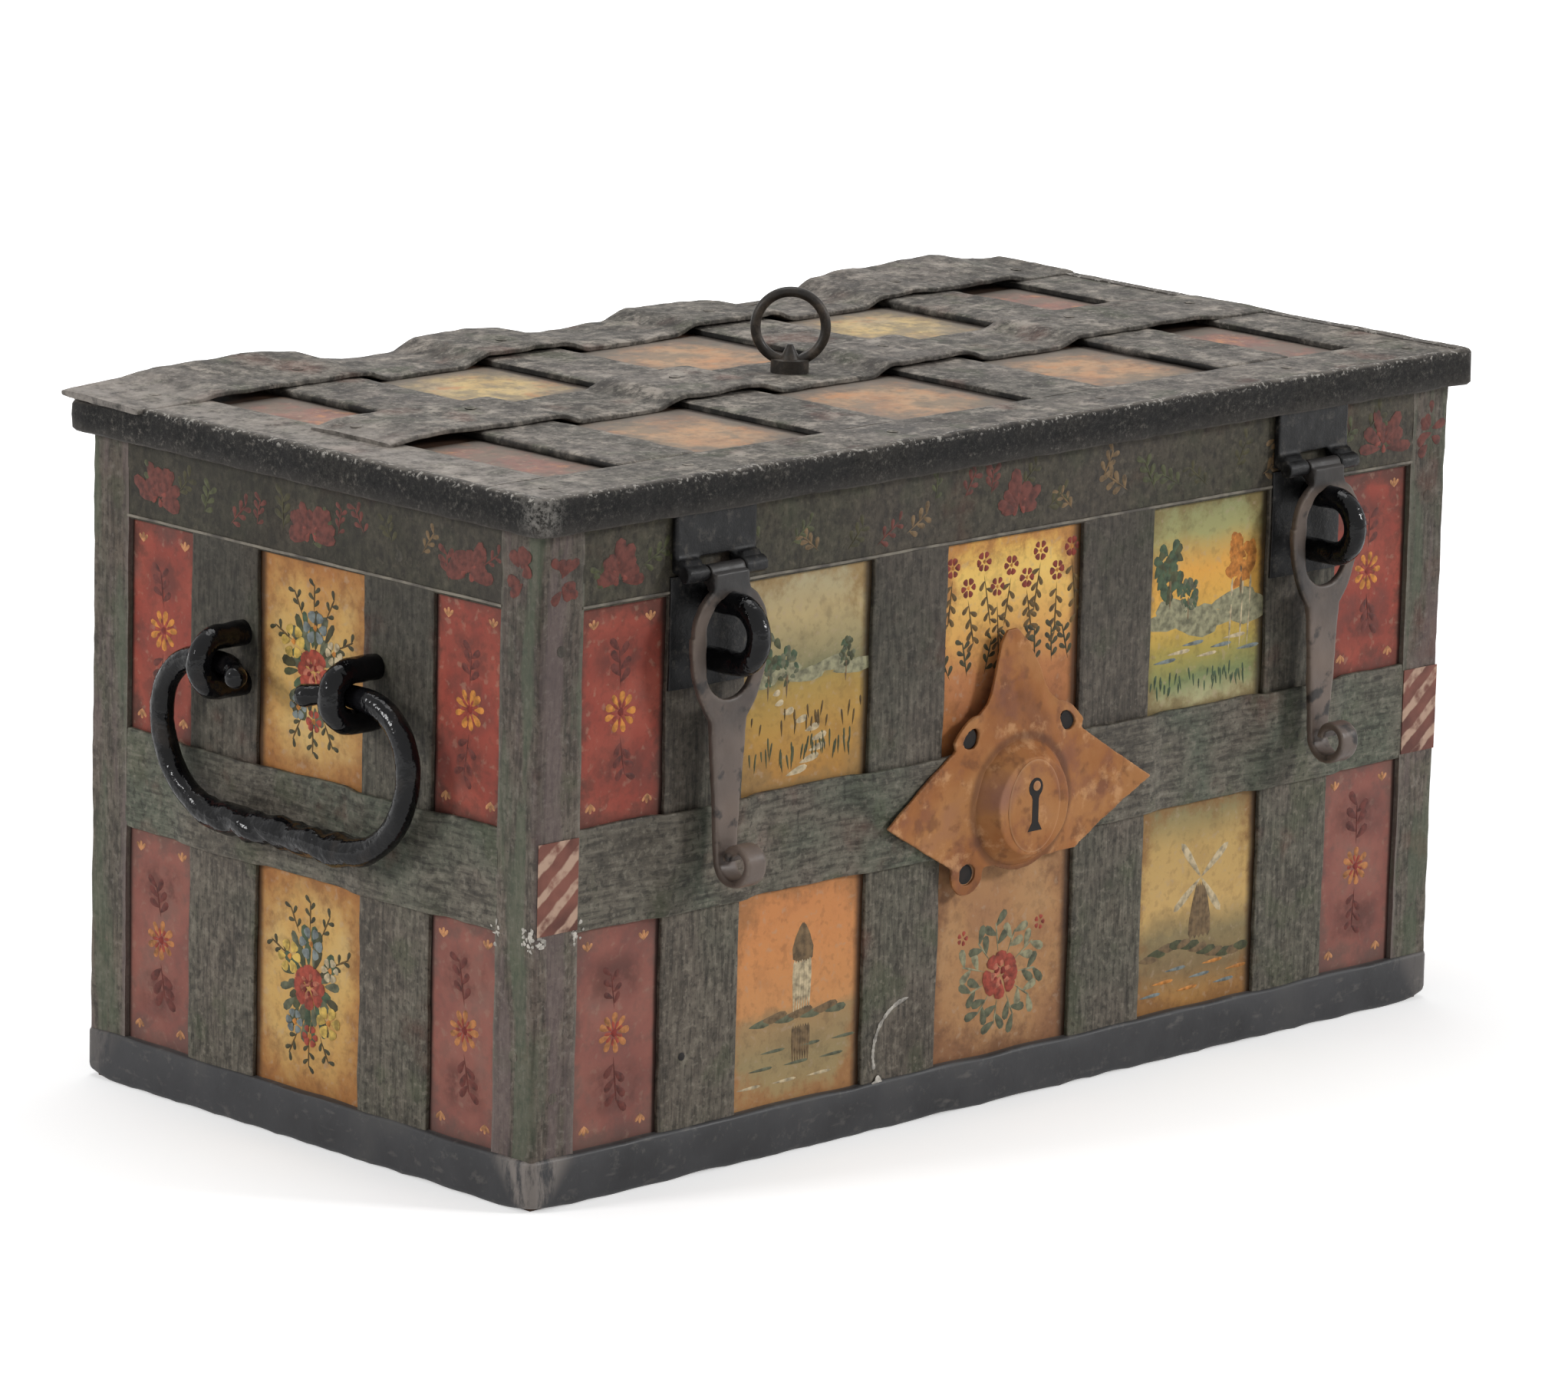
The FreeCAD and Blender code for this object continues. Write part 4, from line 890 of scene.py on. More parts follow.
# Blossoms and leaves on the top bands, faded nearly into the grey: a fan of red petals in the middle of
# each wall and by the corners, with sprays of leaves between.
band_foot = rows[1][1]
band_level, blossom_level = -0.02, 0.12
half_spans = {wall: span / mm for wall, (_, _, span) in walls.items()}
for wall, half in half_spans.items():
    sprays = round(2 * (half - 30) / 17)
    for n in range(sprays):
        along = (half - 30) * (2 * (n + 0.5) / sprays - 1)
        tint = hand.choice(("moss", "leaf_dark", "umber", "moss", "faded_red"))
        twig(tint, wall, complex(along, band_foot + vary(6, 20)), vary(25, 155), vary(12, 18), 6, vary(4.5, 6.5),
             out=band_level)
    for along in (0.0, 44 - half, half - 44):
        at = complex(along, band_foot + 10)
        for n in range(9):
            lean, long = 8 + 20.5 * n + vary(-9, 9), vary(10, 17)
            petal = at + around(lean, long * 0.62, long * 0.7)
            daub("faded_red", wall, petal, lean, long, vary(4.5, 7), blossom_level)
        ring_of("faded_rose", wall, at + 4j, 5, 6, 2.6, vary(0, 60), blossom_level)
for wall, side in (("front", -1), ("left_end", 1), ("front", 1), ("right_end", -1)):
    at = complex(side * (half_spans[wall] - 12), band_foot + 14)
    for _ in range(9):
        turn, off = vary(0, 360), vary(4, 9)
        petal = at + around(turn, 0.7 * off, 1.3 * off)
        daub("faded_red", wall, petal, turn, vary(6, 10), vary(3.5, 5.5), blossom_level)

# Old damage: a nail hole and a pale scrape on the front, and chips down to the filler along the skirt and
# under the patch at the near corner. Laid like the brushwork.
scratch_level, chip_level, skirt_level = 0.15, 0.12, 0.8
for n in range(16):
    bend = 100 + 92 * n / 15
    daub("filler", "front", -58 + 34j + around(bend, 22.2), bend + 90, 5.4 - 0.1 * n, vary(1.2, 2.2), scratch_level)
for _ in range(8):
    at = complex(-77.6 + vary(-2.5, 2.5), 22 + vary(-2, 1))
    daub("filler", "front", at, vary(0, 180), vary(3, 5), 2.4, skirt_level)
for wall, side in (("front", -1), ("left_end", 1)):
    for _ in range(34):
        reach = hand.choice((1, 1, 21)) + vary(-1, 7) * hand.random()
        at = complex(side * (half_spans[wall] - 1 - reach), hand.gauss(117, 2.2))
        daub("filler", wall, at, vary(0, 180), vary(1, 3.4), vary(0.8, 1.8), chip_level)
# The nail hole is a dot of near-black paint: painted shade inside the hole.
for n in range(4):
    daub("painted_hole_shade", "front", -194.6 + 52.9j, 45 * n, 3.6, 3, chip_level)

for name, touches in strokes.items():
    pigment = Finish(name + "_pigment", roughness=0.58, shine=0.25)
    streak = pigment.noise(300.0)
    dark, light = ([min(c * share, 255) for c in pigments[name]] for share in (0.66, 1.04))
    pigment.ground(streak, (0.32, *dark), (0.62, *light))
    pigment.relief(streak, 0.0002, 0.6)
    spots, lies, sizes = zip(*touches)
    fit(grown(name + "_touches", bead, pigment, spots, marks={"lie": lies, "size": sizes}), "chest", "painted_panels")

# Drop handles and their staples: round bar forged into a bail, blunt ends turned in through two staples
# driven into the end uprights and clenched inside. All under a thick glossy black.
def forged(node, body, finish, voxel, dents, seed, reshape=None, swell=0.0, slot="black_iron"):
    """A fitting as it leaves the smith, in place of its node: edges drawn soft and faces beaten uneven."""
    small, large = 7 * mm, 22 * mm
    work = bmesh.new()
    work.from_mesh(nodes[node].data)
    bmesh.ops.remove_doubles(work, verts=work.verts, dist=0.01 * mm)
    piece = placed(node + "_forged", meshed(node + "_forged", work))
    skin = piece.modifiers.new("skin", "REMESH")
    skin.mode, skin.voxel_size = "VOXEL", voxel
    soften = piece.modifiers.new("soften", "SMOOTH")
    soften.factor, soften.iterations = 0.5, 3
    worked = settled(piece)
    moved = []
    for spot, way in [(vertex.co.copy(), vertex.normal.copy()) for vertex in worked.vertices]:
        beaten = spot + way * (swell + rise(spot, small, dents, seed) + rise(spot, large, dents, seed + 5))
        moved.extend(beaten + reshape(spot) if reshape else beaten)
    worked.vertices.foreach_set("co", moved)
    worked.materials.clear()
    worked.materials.append(finish.material)
    worked.shade_smooth()
    fit(piece, body, slot, node)


black = Finish("glossy_black", roughness=0.3, shine=0.21)
lumps = black.noise(70.0)
black.ground(lumps, (0.35, 9, 9, 11), (0.7, 20, 20, 22))
black.over(black.patches(0.6, 0.74, 48.0, 6.0), 1.0, (44, 39, 36))
black.rough(lumps, 0.06, 0.18)
black.relief(lumps, 0.0024, 0.75)
black.relief(black.noise(280.0), 0.0003, 0.5)
bail_out, bail_axis = 294 * mm, 204.24 * mm
bail_half, bend_high, bend_low, bail_end = 78.5 * mm, 27 * mm, 40 * mm, 19 * mm
bail_curl, curl_start = 10 * mm, 38 * mm
grip_from, grip_ramp, knob_run = 118, 30, 12
bail_sizes = (
    (0.0, 2.6), (1.2, 4.2), (3.5, 5.0), (7, 4.6), (11, 4.2), (20, 5.0), (60, 5.2), (115, 5.4), (140, 6.6), (400, 6.8))


def turns(count):
    return [2 * math.pi * n / count for n in range(count)]


def bar_round(path, thick, sides=16):
    """Loops of a round bar along a path that nowhere runs straight along X."""
    loops = []
    for n, spot in enumerate(path):
        ahead = (path[min(n + 1, len(path) - 1)] - path[max(n - 1, 0)]).normalized()
        across = (Vector((1, 0, 0)) - ahead * ahead.x).normalized()
        other = ahead.cross(across)
        loops.append([spot + thick(n, t) * (across * math.cos(t) + other * math.sin(t)) for t in turns(sides)])
    return loops


def bail_path(x):
    """The bail's middle line, from one end round to the other. The ends turn out a little past the staples."""
    quarter = [math.radians(90 * n / 14) for n in range(15)]
    tip, foot = bail_half - bend_high, bail_half - bend_low
    shares = (0, 0.03, 0.08, 0.15, 0.23, 0.31, 0.4, 0.5, 0.64, 0.78, 0.9)
    half = [(bail_end + (tip - bail_end) * share, bail_axis) for share in shares]
    half += [(tip + bend_high * math.sin(t), bail_axis - bend_high * (1 - math.cos(t))) for t in quarter]
    half += [(foot + bend_low * math.cos(t), bail_axis - bend_high - bend_low * math.sin(t)) for t in quarter[1:]]
    low = bail_axis - bend_high - bend_low
    half += [(foot * (1 - n / 12), low) for n in range(1, 12)]
    line = [(-y, z) for y, z in half] + [(0, low)] + half[::-1]
    path = [Vector((x, y, z)) for y, z in line]
    for spot in path:
        if spot.z > bail_axis - mm and abs(spot.y) < curl_start:
            out = ((curl_start - abs(spot.y)) / (curl_start - bail_end)) ** 1.6
            spot.x += math.copysign(bail_curl * out, x)
            spot.z -= 0.3 * bail_curl * out
    return path


def bail_thickness(path, seed):
    """Drawn thin at the bends, thick and lumpy at the grip, with a small knob at each end."""
    walked = [0.0]
    for here, after in zip(path, path[1:]):
        walked.append(walked[-1] + (after - here).length)

    def thick(n, turn):
        from_end = min(walked[n], walked[-1] - walked[n]) / mm
        for (d0, r0), (d1, r1) in zip(bail_sizes, bail_sizes[1:]):
            if d0 <= from_end <= d1:
                radius = r0 + (r1 - r0) * (from_end - d0) / (d1 - d0)
        lumpy = 0.06 + 0.3 * clamped((from_end - grip_from) / grip_ramp)
        spot = path[n] / (8 * mm) + Vector((math.cos(turn), math.sin(turn), seed))
        return radius * mm * (1 + lumpy * noise.noise(spot) * min(from_end / knob_run, 1.0))
    return thick


for number, (side, x) in enumerate((("left", -bail_out), ("right", bail_out))):
    path = bail_path(x)
    bail = loft(side + "_bail", black, bar_round(path, bail_thickness(path, 3.0 + number)))
    fit(bail, side + "_handle", "black_iron", side + "_handle")
    forged(side + "_handle_staples", "chest", black, 0.9 * mm, 0.5 * mm, number + 3.0, swell=1.1 * mm)

# Hasps: a black leaf under the lid's edge, then a forged plate with a tall eye, a tail and a rolled end,
# rubbed brown. Each drops over a stout half-round staple for the padlock, driven through a black plate
# that also lays a painted shadow on the upright beside the hasp.
brown = Finish("rubbed_brown_iron", roughness=0.5, shine=0.35)
rubbed, height = brown.noise(36.0, 6.0), brown.parts(brown.place)[2]
brown.ground(rubbed, (0.3, 54, 48, 45), (0.5, 82, 72, 66), (0.72, 106, 92, 82))
brown.coats((height, 205 * mm, 185 * mm, 0.4, (124, 108, 98)))
brown.over(brown.arris(0.52, 0.58), 0.6, (150, 136, 122))
brown.coats((brown.noise(110.0, 5.0), 0.54, 0.68, 1.0, (40, 36, 34)), (height, 250.5 * mm, 256 * mm, 0.9, (22, 21, 21)))
brown.rough(rubbed, 0.36, 0.6)
brown.relief(brown.noise(230.0, 5.0), 0.0004, 0.6)
dull = Finish("dull_black", roughness=0.45, shine=0.2)
grit = dull.noise(150.0, 6.0, None, 0.7)
dull.ground(grit, (0.35, 12, 12, 13), (0.55, 26, 26, 27), (0.68, 70, 67, 63))
dull.rough(grit, 0.3, 0.55)
dull.relief(grit, 0.0008, 0.7)
loop_bar, loop_half, loop_crown = 5.2 * mm, 12.6 * mm, 30.5 * mm
loop_middle, loop_root = 236 * mm, 4 * mm
plate_low, plate_high = 212 * mm, 260 * mm
eye_middle, eye_reach, head_reach = 236 * mm, 14.5 * mm, 21.2 * mm
head_half, head_tall, tongue_half = 22 * mm, 21 * mm, 10 * mm
knuckle, knuckle_reach = Vector((0, -150.5 * mm, 262 * mm)), 5.6 * mm


def slimmed(spot):
    """Beats the rolled knuckles in towards their pin."""
    off = Vector((0, spot.y, spot.z)) - knuckle
    return off * -0.3 if off.length < knuckle_reach else Vector()


def round_headed(spot):
    """Draws the square head of the hasp in to a round one about its eye, and leaves the tongue between alone."""
    side, up = abs(spot.x) - long_uprights[3], spot.z - eye_middle
    away = math.hypot(side, up)
    if up <= 0 or away < eye_reach:
        return slimmed(spot)
    reach = min(head_half / max(abs(side) / away, 0.01), head_tall * away / up)
    if away > reach + mm:
        return slimmed(spot)
    share = clamped((abs(side) - tongue_half + mm) / (3 * mm))
    pull = max(away - eye_reach, 0.0) * max(reach - head_reach, 0.0) / (reach - eye_reach) * share / away
    return Vector((-math.copysign(side * pull, side * spot.x), 0, -up * pull))


straight = loop_crown - loop_half
bow = [math.radians(180 * n / 20) for n in range(21)]
loop_line = [((straight + loop_root) * n / 8 - loop_root, loop_half) for n in range(8)]
loop_line += [(straight + loop_half * math.sin(t), loop_half * math.cos(t)) for t in bow]
loop_line += [(straight - (straight + loop_root) * n / 8, -loop_half) for n in range(1, 9)]
for number, (side, x) in enumerate((("left", long_uprights[0]), ("right", long_uprights[3]))):
    forged(side + "_hasp_leaf", "lid", dull, 1.0 * mm, 0.3 * mm, number + 11.0, slimmed)
    forged(side + "_hasp", side + "_hasp", brown, 0.8 * mm, 0.3 * mm, number + 13.0, round_headed)
    path = [Vector((x, -half_depth - out, loop_middle + up)) for out, up in loop_line]
    loop_thick = lambda n, turn: loop_bar * (1 + 0.07 * noise.noise(path[n] / (9 * mm)))
    fit(loft(side + "_padlock_loop", black, bar_round(path, loop_thick)), "chest", "black_iron", side + "_hasp_staple")
    # The black plate behind each staple also lays a painted shadow on the upright beside the hasp.
    plate_run = strap_run(plate_low, plate_high, -x, half_depth + 0.4 * mm)
    fit(straps(side + "_loop_plate", dull, [plate_run], turned("front", stand_up), Width=long_width,
               Thickness=1.6 * mm, Dents=0.2 * mm, Seed=number + 15.0), "chest", "black_iron")
dress(dull, "hasp_pins")

# Escutcheon: sheet iron cut to a star with eyes for its nails, dished a little and rusted orange, under a
# turned boss with a raised disc and a keyhole.
boss_z, boss_base, boss_foot = 135 * mm, 29 * mm, 29.5 * mm
head_from, head_run, arm_from, arm_run = 166 * mm, 46 * mm, 40 * mm, 42 * mm
rusty = Finish("orange_rust", roughness=0.66, shine=0.2)
patch = rusty.noise(26.0, 7.0)
rusty.ground(patch, (0.28, 116, 70, 42), (0.45, 158, 102, 58), (0.6, 172, 120, 74), (0.76, 152, 108, 86))
rusty.coats(
    (rusty.noise(120.0, 6.0), 0.53, 0.68, 0.6, (104, 66, 44)),
    (rusty.noise(48.0, 6.0, None, 0.62), 0.5, 0.64, 0.55, (126, 80, 62)),
    (rusty.noise(84.0, 6.0, None, 0.65), 0.55, 0.7, 0.6, (206, 158, 112)))
x, _, z = rusty.parts(rusty.place)
z = rusty.math("SUBTRACT", z, boss_z)
from_boss = rusty.math("SQRT", rusty.math("ADD", rusty.times(x, x), rusty.times(z, z)))
# A dark ring round the boss's foot: painted shade, with grime, in the corner between boss and plate.
rusty.coats((rusty.off(from_boss, boss_foot), 3.6 * mm, 0.4 * mm, 0.6, (84, 54, 40)))
rusty.over(rusty.arris(0.52, 0.6), 0.45, (206, 164, 126))
rusty.rough(patch, 0.48, 0.75)
rusty.relief(rusty.noise(170.0, 6.0), 0.0006, 0.7)


def dished(spot):
    """Lifts the plate round the boss, bends its head aside and its arms outward."""
    away = math.hypot(spot.x, spot.z - boss_z)
    collar = 1.8 * mm * math.exp(-((away - boss_base) / (9 * mm)) ** 2)
    up = clamped((spot.z - head_from) / head_run)
    lean = -6 * mm * up * up - spot.x * 0.22 * min(3 * up, 1.0)
    arm = clamped((abs(spot.x) - arm_from) / arm_run)
    return Vector((lean, -collar - 2.4 * mm * arm * arm, 0))


def round_of(x, y, z, wide, tall, count):
    """Points round an upright ellipse; z is measured from the boss."""
    return [Vector((x + wide * math.cos(t), y, boss_z + z + tall * math.sin(t))) for t in turns(count)]


forged("escutcheon_plate", "chest", rusty, 0.7 * mm, 0.35 * mm, 21.0, dished, slot="escutcheon_paint")
forged("escutcheon_boss", "chest", rusty, 0.7 * mm, 0.3 * mm, 23.0, slot="escutcheon_paint")
disc_face, disc_wide, disc_tall = -157.0 * mm, 15.5 * mm, 20 * mm
disc = [round_of(0.0, disc_face + out * mm, 0.0, disc_wide * share, disc_tall * share, 48)
        for out, share in ((0.6, 1.04), (-0.2, 1.03), (-0.55, 0.98), (-0.6, 0.9))]
fit(loft("keyhole_disc", rusty, disc), "chest", "escutcheon_paint")
# Painted shade: near-black plugs sunk in the keyhole and set behind the plate's nail eyes stand for the shade inside
# the holes.
hole_shade = Finish("keyhole_shade", roughness=0.9)
hole_shade.ground(hole_shade.noise(200.0), (0.4, 12, 9, 8), (0.7, 26, 19, 15))
keyhole = [(4.3 * math.sin(t), 8.2 + 4.4 * math.cos(t)) for t in (math.radians(145 - 20.7 * n) for n in range(15))]
keyhole += [(-1.9, 3.0), (-2.0, -7.2), (-4.4, -11), (4.4, -11), (2.0, -7.2), (1.9, 3.0)]
loops = [[Vector((a * mm, disc_face + out * mm, boss_z + b * mm)) for a, b in keyhole] for out in (0.2, -0.72)]
fit(loft("keyhole_shade", hole_shade, loops), "chest", "escutcheon_paint")
pin = [round_of(0.3 * mm, disc_face - out * mm, 9 * mm, r * mm, r * mm, 16)
       for out, r in ((0.3, 2.2), (1.0, 2.2), (1.3, 1.6))]
fit(loft("keyhole_pin", rusty, pin), "chest", "escutcheon_paint")
hole_round = 4.4 * mm
hole_shade_discs = []
for number, (x, z) in enumerate(((-30.5, 32), (30.5, 32), (-30.5, -28))):
    loops = [round_of(x * mm, -out * mm, z * mm, hole_round, hole_round, 20) for out in (145.0, 145.9)]
    hole_shade_discs.append(loft("shade_in_nail_hole_" + str(number), hole_shade, loops))
fit(joined("shade_in_nail_holes", hole_shade_discs), "chest", "escutcheon_paint")

# Lid plate and its painted fields: rubbed nearly bare by hands and boxes set on it, red at the ends and
# orange and yellow between, under dust-grey wear.
lid_top = 299 * mm
dress(primer, "lid_plate")
lid_columns = ((-248, -207.3), (-162.3, -86.9), (-41.9, 41.9), (86.9, 162.3), (207.3, 248))
lid_rows = ((-110, -25), (25, 100))
lid_tones = {
    "red": ((0.3, 116, 84, 76), (0.5, 142, 104, 94), (0.7, 152, 126, 114)),
    "orange": ((0.3, 158, 118, 88), (0.5, 182, 146, 114), (0.7, 172, 148, 124)),
    "yellow": ((0.3, 180, 150, 102), (0.5, 204, 178, 126), (0.7, 182, 164, 136)),
}
lid_pattern = ("red", "orange", "orange", "orange", "red"), ("red", "yellow", "orange", "yellow", "red")
for number, (name, tones) in enumerate(lid_tones.items()):
    worn = field_paint("rubbed_" + name, tones, (108, 96, 88), 1.0, dust=0.45, stain=0.24, rubbed=0.6)
    spots = [
        [Vector((x * mm, y * mm, lid_top)) for x, y in four_corners(*column, *row)]
        for row, names in zip(lid_rows, lid_pattern) for column, wanted in zip(lid_columns, names) if wanted == name]
    fields("lid_rubbed_" + name, worn, spots, 11.0 + number, "lid", "lid_panels")

# Lid straps: flat borders and cross straps riveted to the plate, two of them ending in the hinges, and two
# long strips that ride up over every cross strap, standing off it in places with a dark gap beneath.
# The lid straps take the wall straps' paint in lighter tones: dust, and painted light on their upward-facing tops.
lid_paint = strap_paint("dusty_top_lit_lid_paint", (
    (78, 73, 68), (126, 118, 110), (104, 100, 93), (148, 140, 130)), (1.0, 1.0, 1.0), (172, 165, 154),
    0.42, 0.2, 0.95, 0.66)
dusty_end = lid_paint.step(lid_paint.parts(lid_paint.place)[0], -220 * mm, -270 * mm)
dusted = lid_paint.times(dusty_end, lid_paint.patches(0.34, 0.62, 110.0, 6.0, None, 0.7))
lid_paint.over(dusted, 0.52, (172, 164, 156))
cross_deep, long_deep, long_wide = 3.6 * mm, 2.8 * mm, 50 * mm
cross_front, cross_back = -111 * mm, 150 * mm
border_x, border_wide, front_y, front_wide = 266 * mm, 36 * mm, -128 * mm, 37 * mm
crossings = ((-225, 63), (-64.4, 22.5), (64.4, 22.5), (225, 63))
climb, end_from, end_run = 16, 236, 30
over_y = Matrix(((0, -1, 0, 0), (1, 0, 0, 0), (0, 0, 1, 0), (0, 0, 0, 1)))
flat_level, long_level = lid_top + cross_deep / 2, lid_top + long_deep / 2
for number, (side, x) in enumerate((("left", -border_x), ("right", border_x))):
    run = strap_run(cross_front, cross_back, -x, flat_level)
    fit(straps("lid_" + side + "_border_strap", lid_paint, [run], over_y, Width=border_wide, Thickness=cross_deep,
               Seed=number + 51.0), "lid", "strap_paint", "lid_" + side + "_border")
runs = [strap_run(cross_front, cross_back, x, flat_level) for x in long_uprights[1:3]]
fit(straps("lid_cross_straps", lid_paint, runs, over_y, Thickness=cross_deep, Seed=55.0),
    "lid", "strap_paint", "lid_inner_straps")
front_run = strap_run(-285 * mm, 285 * mm, front_y, flat_level)
fit(straps("lid_front_strap", lid_paint, [front_run], Width=front_wide, Thickness=cross_deep, Wobble=0.9 * mm,
           Seed=57.0), "lid", "strap_paint", "lid_front_strip")
for number, side in enumerate(("left", "right")):
    forged(side + "_hinge_strap", "lid", lid_paint, 1.2 * mm, 0.35 * mm, number + 31.0, slot="strap_paint")


def woven(dip):
    """Height of a long strip over the plate: down in the wide openings, up over each strap, beaten down at the ends."""
    def lift(along):
        reach = along / mm
        best = max(eased(1 - (abs(reach - place) - half) / climb) for place, half in crossings)
        lumpy = noise.noise(Vector((reach / 17, dip, 0.5))) * 0.7
        end = eased((abs(reach) - end_from) / end_run)
        return (best * (cross_deep / mm + 0.5 + lumpy) + 0.3 - 2.2 * end) * mm
    return lift


def curled(piece, spots, front, back):
    """Bends a strip's back edge up or down along its length, by spots of place and height."""
    for vertex in piece.data.vertices:
        reach, share = vertex.co.x / mm, min(max((vertex.co.y / mm - front) / (back - front), 0.0), 1.1)
        for (x0, z0), (x1, z1) in zip(spots, spots[1:]):
            if x0 <= reach <= x1:
                vertex.co.z += (z0 + (z1 - z0) * eased((reach - x0) / (x1 - x0))) * share ** 1.5 * mm


middle_run = strap_run(-259 * mm, 287 * mm, 0.0, long_level, woven(1.0), 3 * mm)
middle_strip = straps("lid_middle_woven", lid_paint, [middle_run], Width=long_wide, Thickness=long_deep,
                      Wobble=4.0 * mm, Dents=1.8 * mm, Seed=61.0)
fit(middle_strip, "lid", "strap_paint", "lid_middle_strip")
back_run = strap_run(-291 * mm, 287 * mm, 125 * mm, long_level, woven(9.0), 3 * mm)
back_strip = straps("lid_back_woven", lid_paint, [back_run], Width=long_wide, Thickness=long_deep,
                    Wobble=4.0 * mm, Dents=2.2 * mm, Seed=67.0)
curled(back_strip, (
    (-300, 1.5), (-250, 3), (-185, 3.5), (-160, 2), (-125, -1.5), (-100, -1), (-64, 0), (-30, -1), (-5, -2.5),
    (24, -1), (64, -1), (90, -2), (115, -4), (150, 0), (185, 2.5), (235, 4), (300, 0)), front=100, back=150)
fit(back_strip, "lid", "strap_paint", "lid_back_strip")
rivet = Shape("low_rivet", Head=2.7 * mm, Proud=0.9 * mm)
dome = rivet.out("GeometryNodeMeshUVSphere", {"Segments": 10, "Rings": 5, "Radius": 1.0})
head = dict(enumerate(rivet.given[size] for size in ("Head", "Head", "Proud")))
rivet.close(rivet.out("GeometryNodeInstanceOnPoints", {
    "Points": rivet.given["Base"], "Instance": dome, "Scale": rivet.out("ShaderNodeCombineXYZ", head)}))


def seat(piece, x, y):
    """A place on top of a strip, where a rivet has been closed."""
    near = [vertex.co.z for vertex in piece.data.vertices if math.hypot(vertex.co.x - x, vertex.co.y - y) < 5 * mm]
    return Vector((x, y, sum(sorted(near)[-4:]) / 4))


rivet_columns = [side * x * mm for x in (64.4, 184.8) for side in (-1, 1)]
rivet_spots = [Vector((x, front_y, lid_top + cross_deep)) for x in rivet_columns + [-border_x, border_x]]
rivet_spots += [seat(middle_strip, x, 6 * mm) for x in rivet_columns + [-250 * mm, border_x]]
rivet_spots += [seat(back_strip, x, 118 * mm) for x in rivet_columns + [-border_x, border_x]]
fit(grown("lid_rivet_heads", rivet, lid_paint, rivet_spots), "lid", "strap_paint", "lid_rivets")

# Lid edge: thick bars riveted round the plate, hanging past the walls, with a coarse charcoal skin speckled
# where the paint has broken, and painted glints along its top. The hinge leaves behind it are black.
edge_x, edge_y = 288 * mm, 150 * mm
edge_low, edge_high, edge_deep = 287 * mm, 303.4 * mm, 6 * mm
edging = Finish("speckled_charcoal", shine=0.12)
cloud, mottle = edging.noise(24.0, 5.0), edging.noise(340.0, 8.0, None, 0.85)
edging.ground(cloud, (0.3, 24, 24, 24), (0.52, 38, 37, 36), (0.75, 54, 52, 49))
broken = edging.scaled(edging.patches(0.44, 0.62, 60.0, 5.0), 0.4, 0.22)
edging.coats((mottle, 0.52, 0.4, 0.85, (15, 15, 15)), (mottle, 0.52, 0.64, broken, (132, 126, 118)))
dusty = edging.times(edging.step(edging.facing()[2], 0.5, 0.95), edging.patches(0.36, 0.58, 90.0, 6.0, None, 0.7))
edging.over(dusty, 0.75, (122, 116, 108))
near_tip = (-edge_x, -edge_y, 297 * mm)
from_tip = edging.node("ShaderNodeVectorMath", {0: edging.place, 1: near_tip}, operation="DISTANCE").outputs["Value"]
knocked = edging.times(edging.step(from_tip, 17 * mm, 3 * mm), edging.step(mottle, 0.44, 0.56))
edging.over(knocked, 0.6, (164, 160, 153))
edging.over(edging.arris(0.52, 0.6), 0.5, (126, 120, 114))
# Painted glints: pale specks along the top of the bar and its upper arris.
top_arris_glints = edging.step(edging.parts(edging.place)[2], 300 * mm, 302.4 * mm)
edging.over(edging.times(edging.patches(0.54, 0.64, 460.0, 4.0, None, 0.6), top_arris_glints), 0.75, (196, 191, 183))
edging.rough(cloud, 0.45, 0.7)
edging.relief(mottle, 0.0012, 0.8)
loops = []
for spot, way in round_path(edge_x, edge_y):
    high = edge_high - clamped((spot.y - 100 * mm) / (45 * mm)) * 3.4 * mm
    section = (
        (0, edge_low + 1.2 * mm), (0, (edge_low + high) / 2), (0, high - 1.8 * mm), (0.7 * mm, high - 0.5 * mm),
        (2 * mm, high), (edge_deep, high - 0.4 * mm), (edge_deep, edge_low + 0.6 * mm), (1.2 * mm, edge_low))
    loop = []
    for deep, z in section:
        point = spot - way * deep + Vector((0, 0, z))
        point += way * (rise(point, 8 * mm, 0.5 * mm, 71.0) + rise(point, 3 * mm, 0.25 * mm, 73.0))
        point.z += rise(point, 11 * mm, 0.5 * mm, 75.0)
        loop.append(point)
    loops.append(loop)
fit(loft("lid_edge", edging, loops, ring=True), "lid", "edge_paint", "lid_edge_bars")
for number, side in enumerate(("left", "right")):
    forged(side + "_hinge_leaf", "chest", black, 1.1 * mm, 0.3 * mm, number + 35.0)
dress(black, "hinge_pins")

# Lock under the lid: a filed plate, a disc with spiral slots, four bolts in their keepers, and the bridge
# that carries the disc. Filed iron, oiled, bright along its edges. The rim that the bolts catch is the same.
filed = Finish("filed_iron", roughness=0.4, metal=0.85)
file_marks = filed.noise(40.0, 6.0, (1.0, 14.0, 1.0))
filed.ground(filed.noise(14.0, 5.0), (0.32, 112, 106, 100), (0.55, 142, 138, 132), (0.75, 124, 106, 90))
filed.over(filed.patches(0.58, 0.72, 60.0, 6.0), 0.6, (92, 64, 46))
filed.rough(file_marks, 0.3, 0.55)
filed.relief(file_marks, 0.0002, 0.5)
bolt_names = [way + "_bolt" for way in ("front", "back", "left", "right")]
dress(filed, "lock_plate", "drive_disc", "lock_bridge", "bolt_keepers", *bolt_names, "rim_bars")

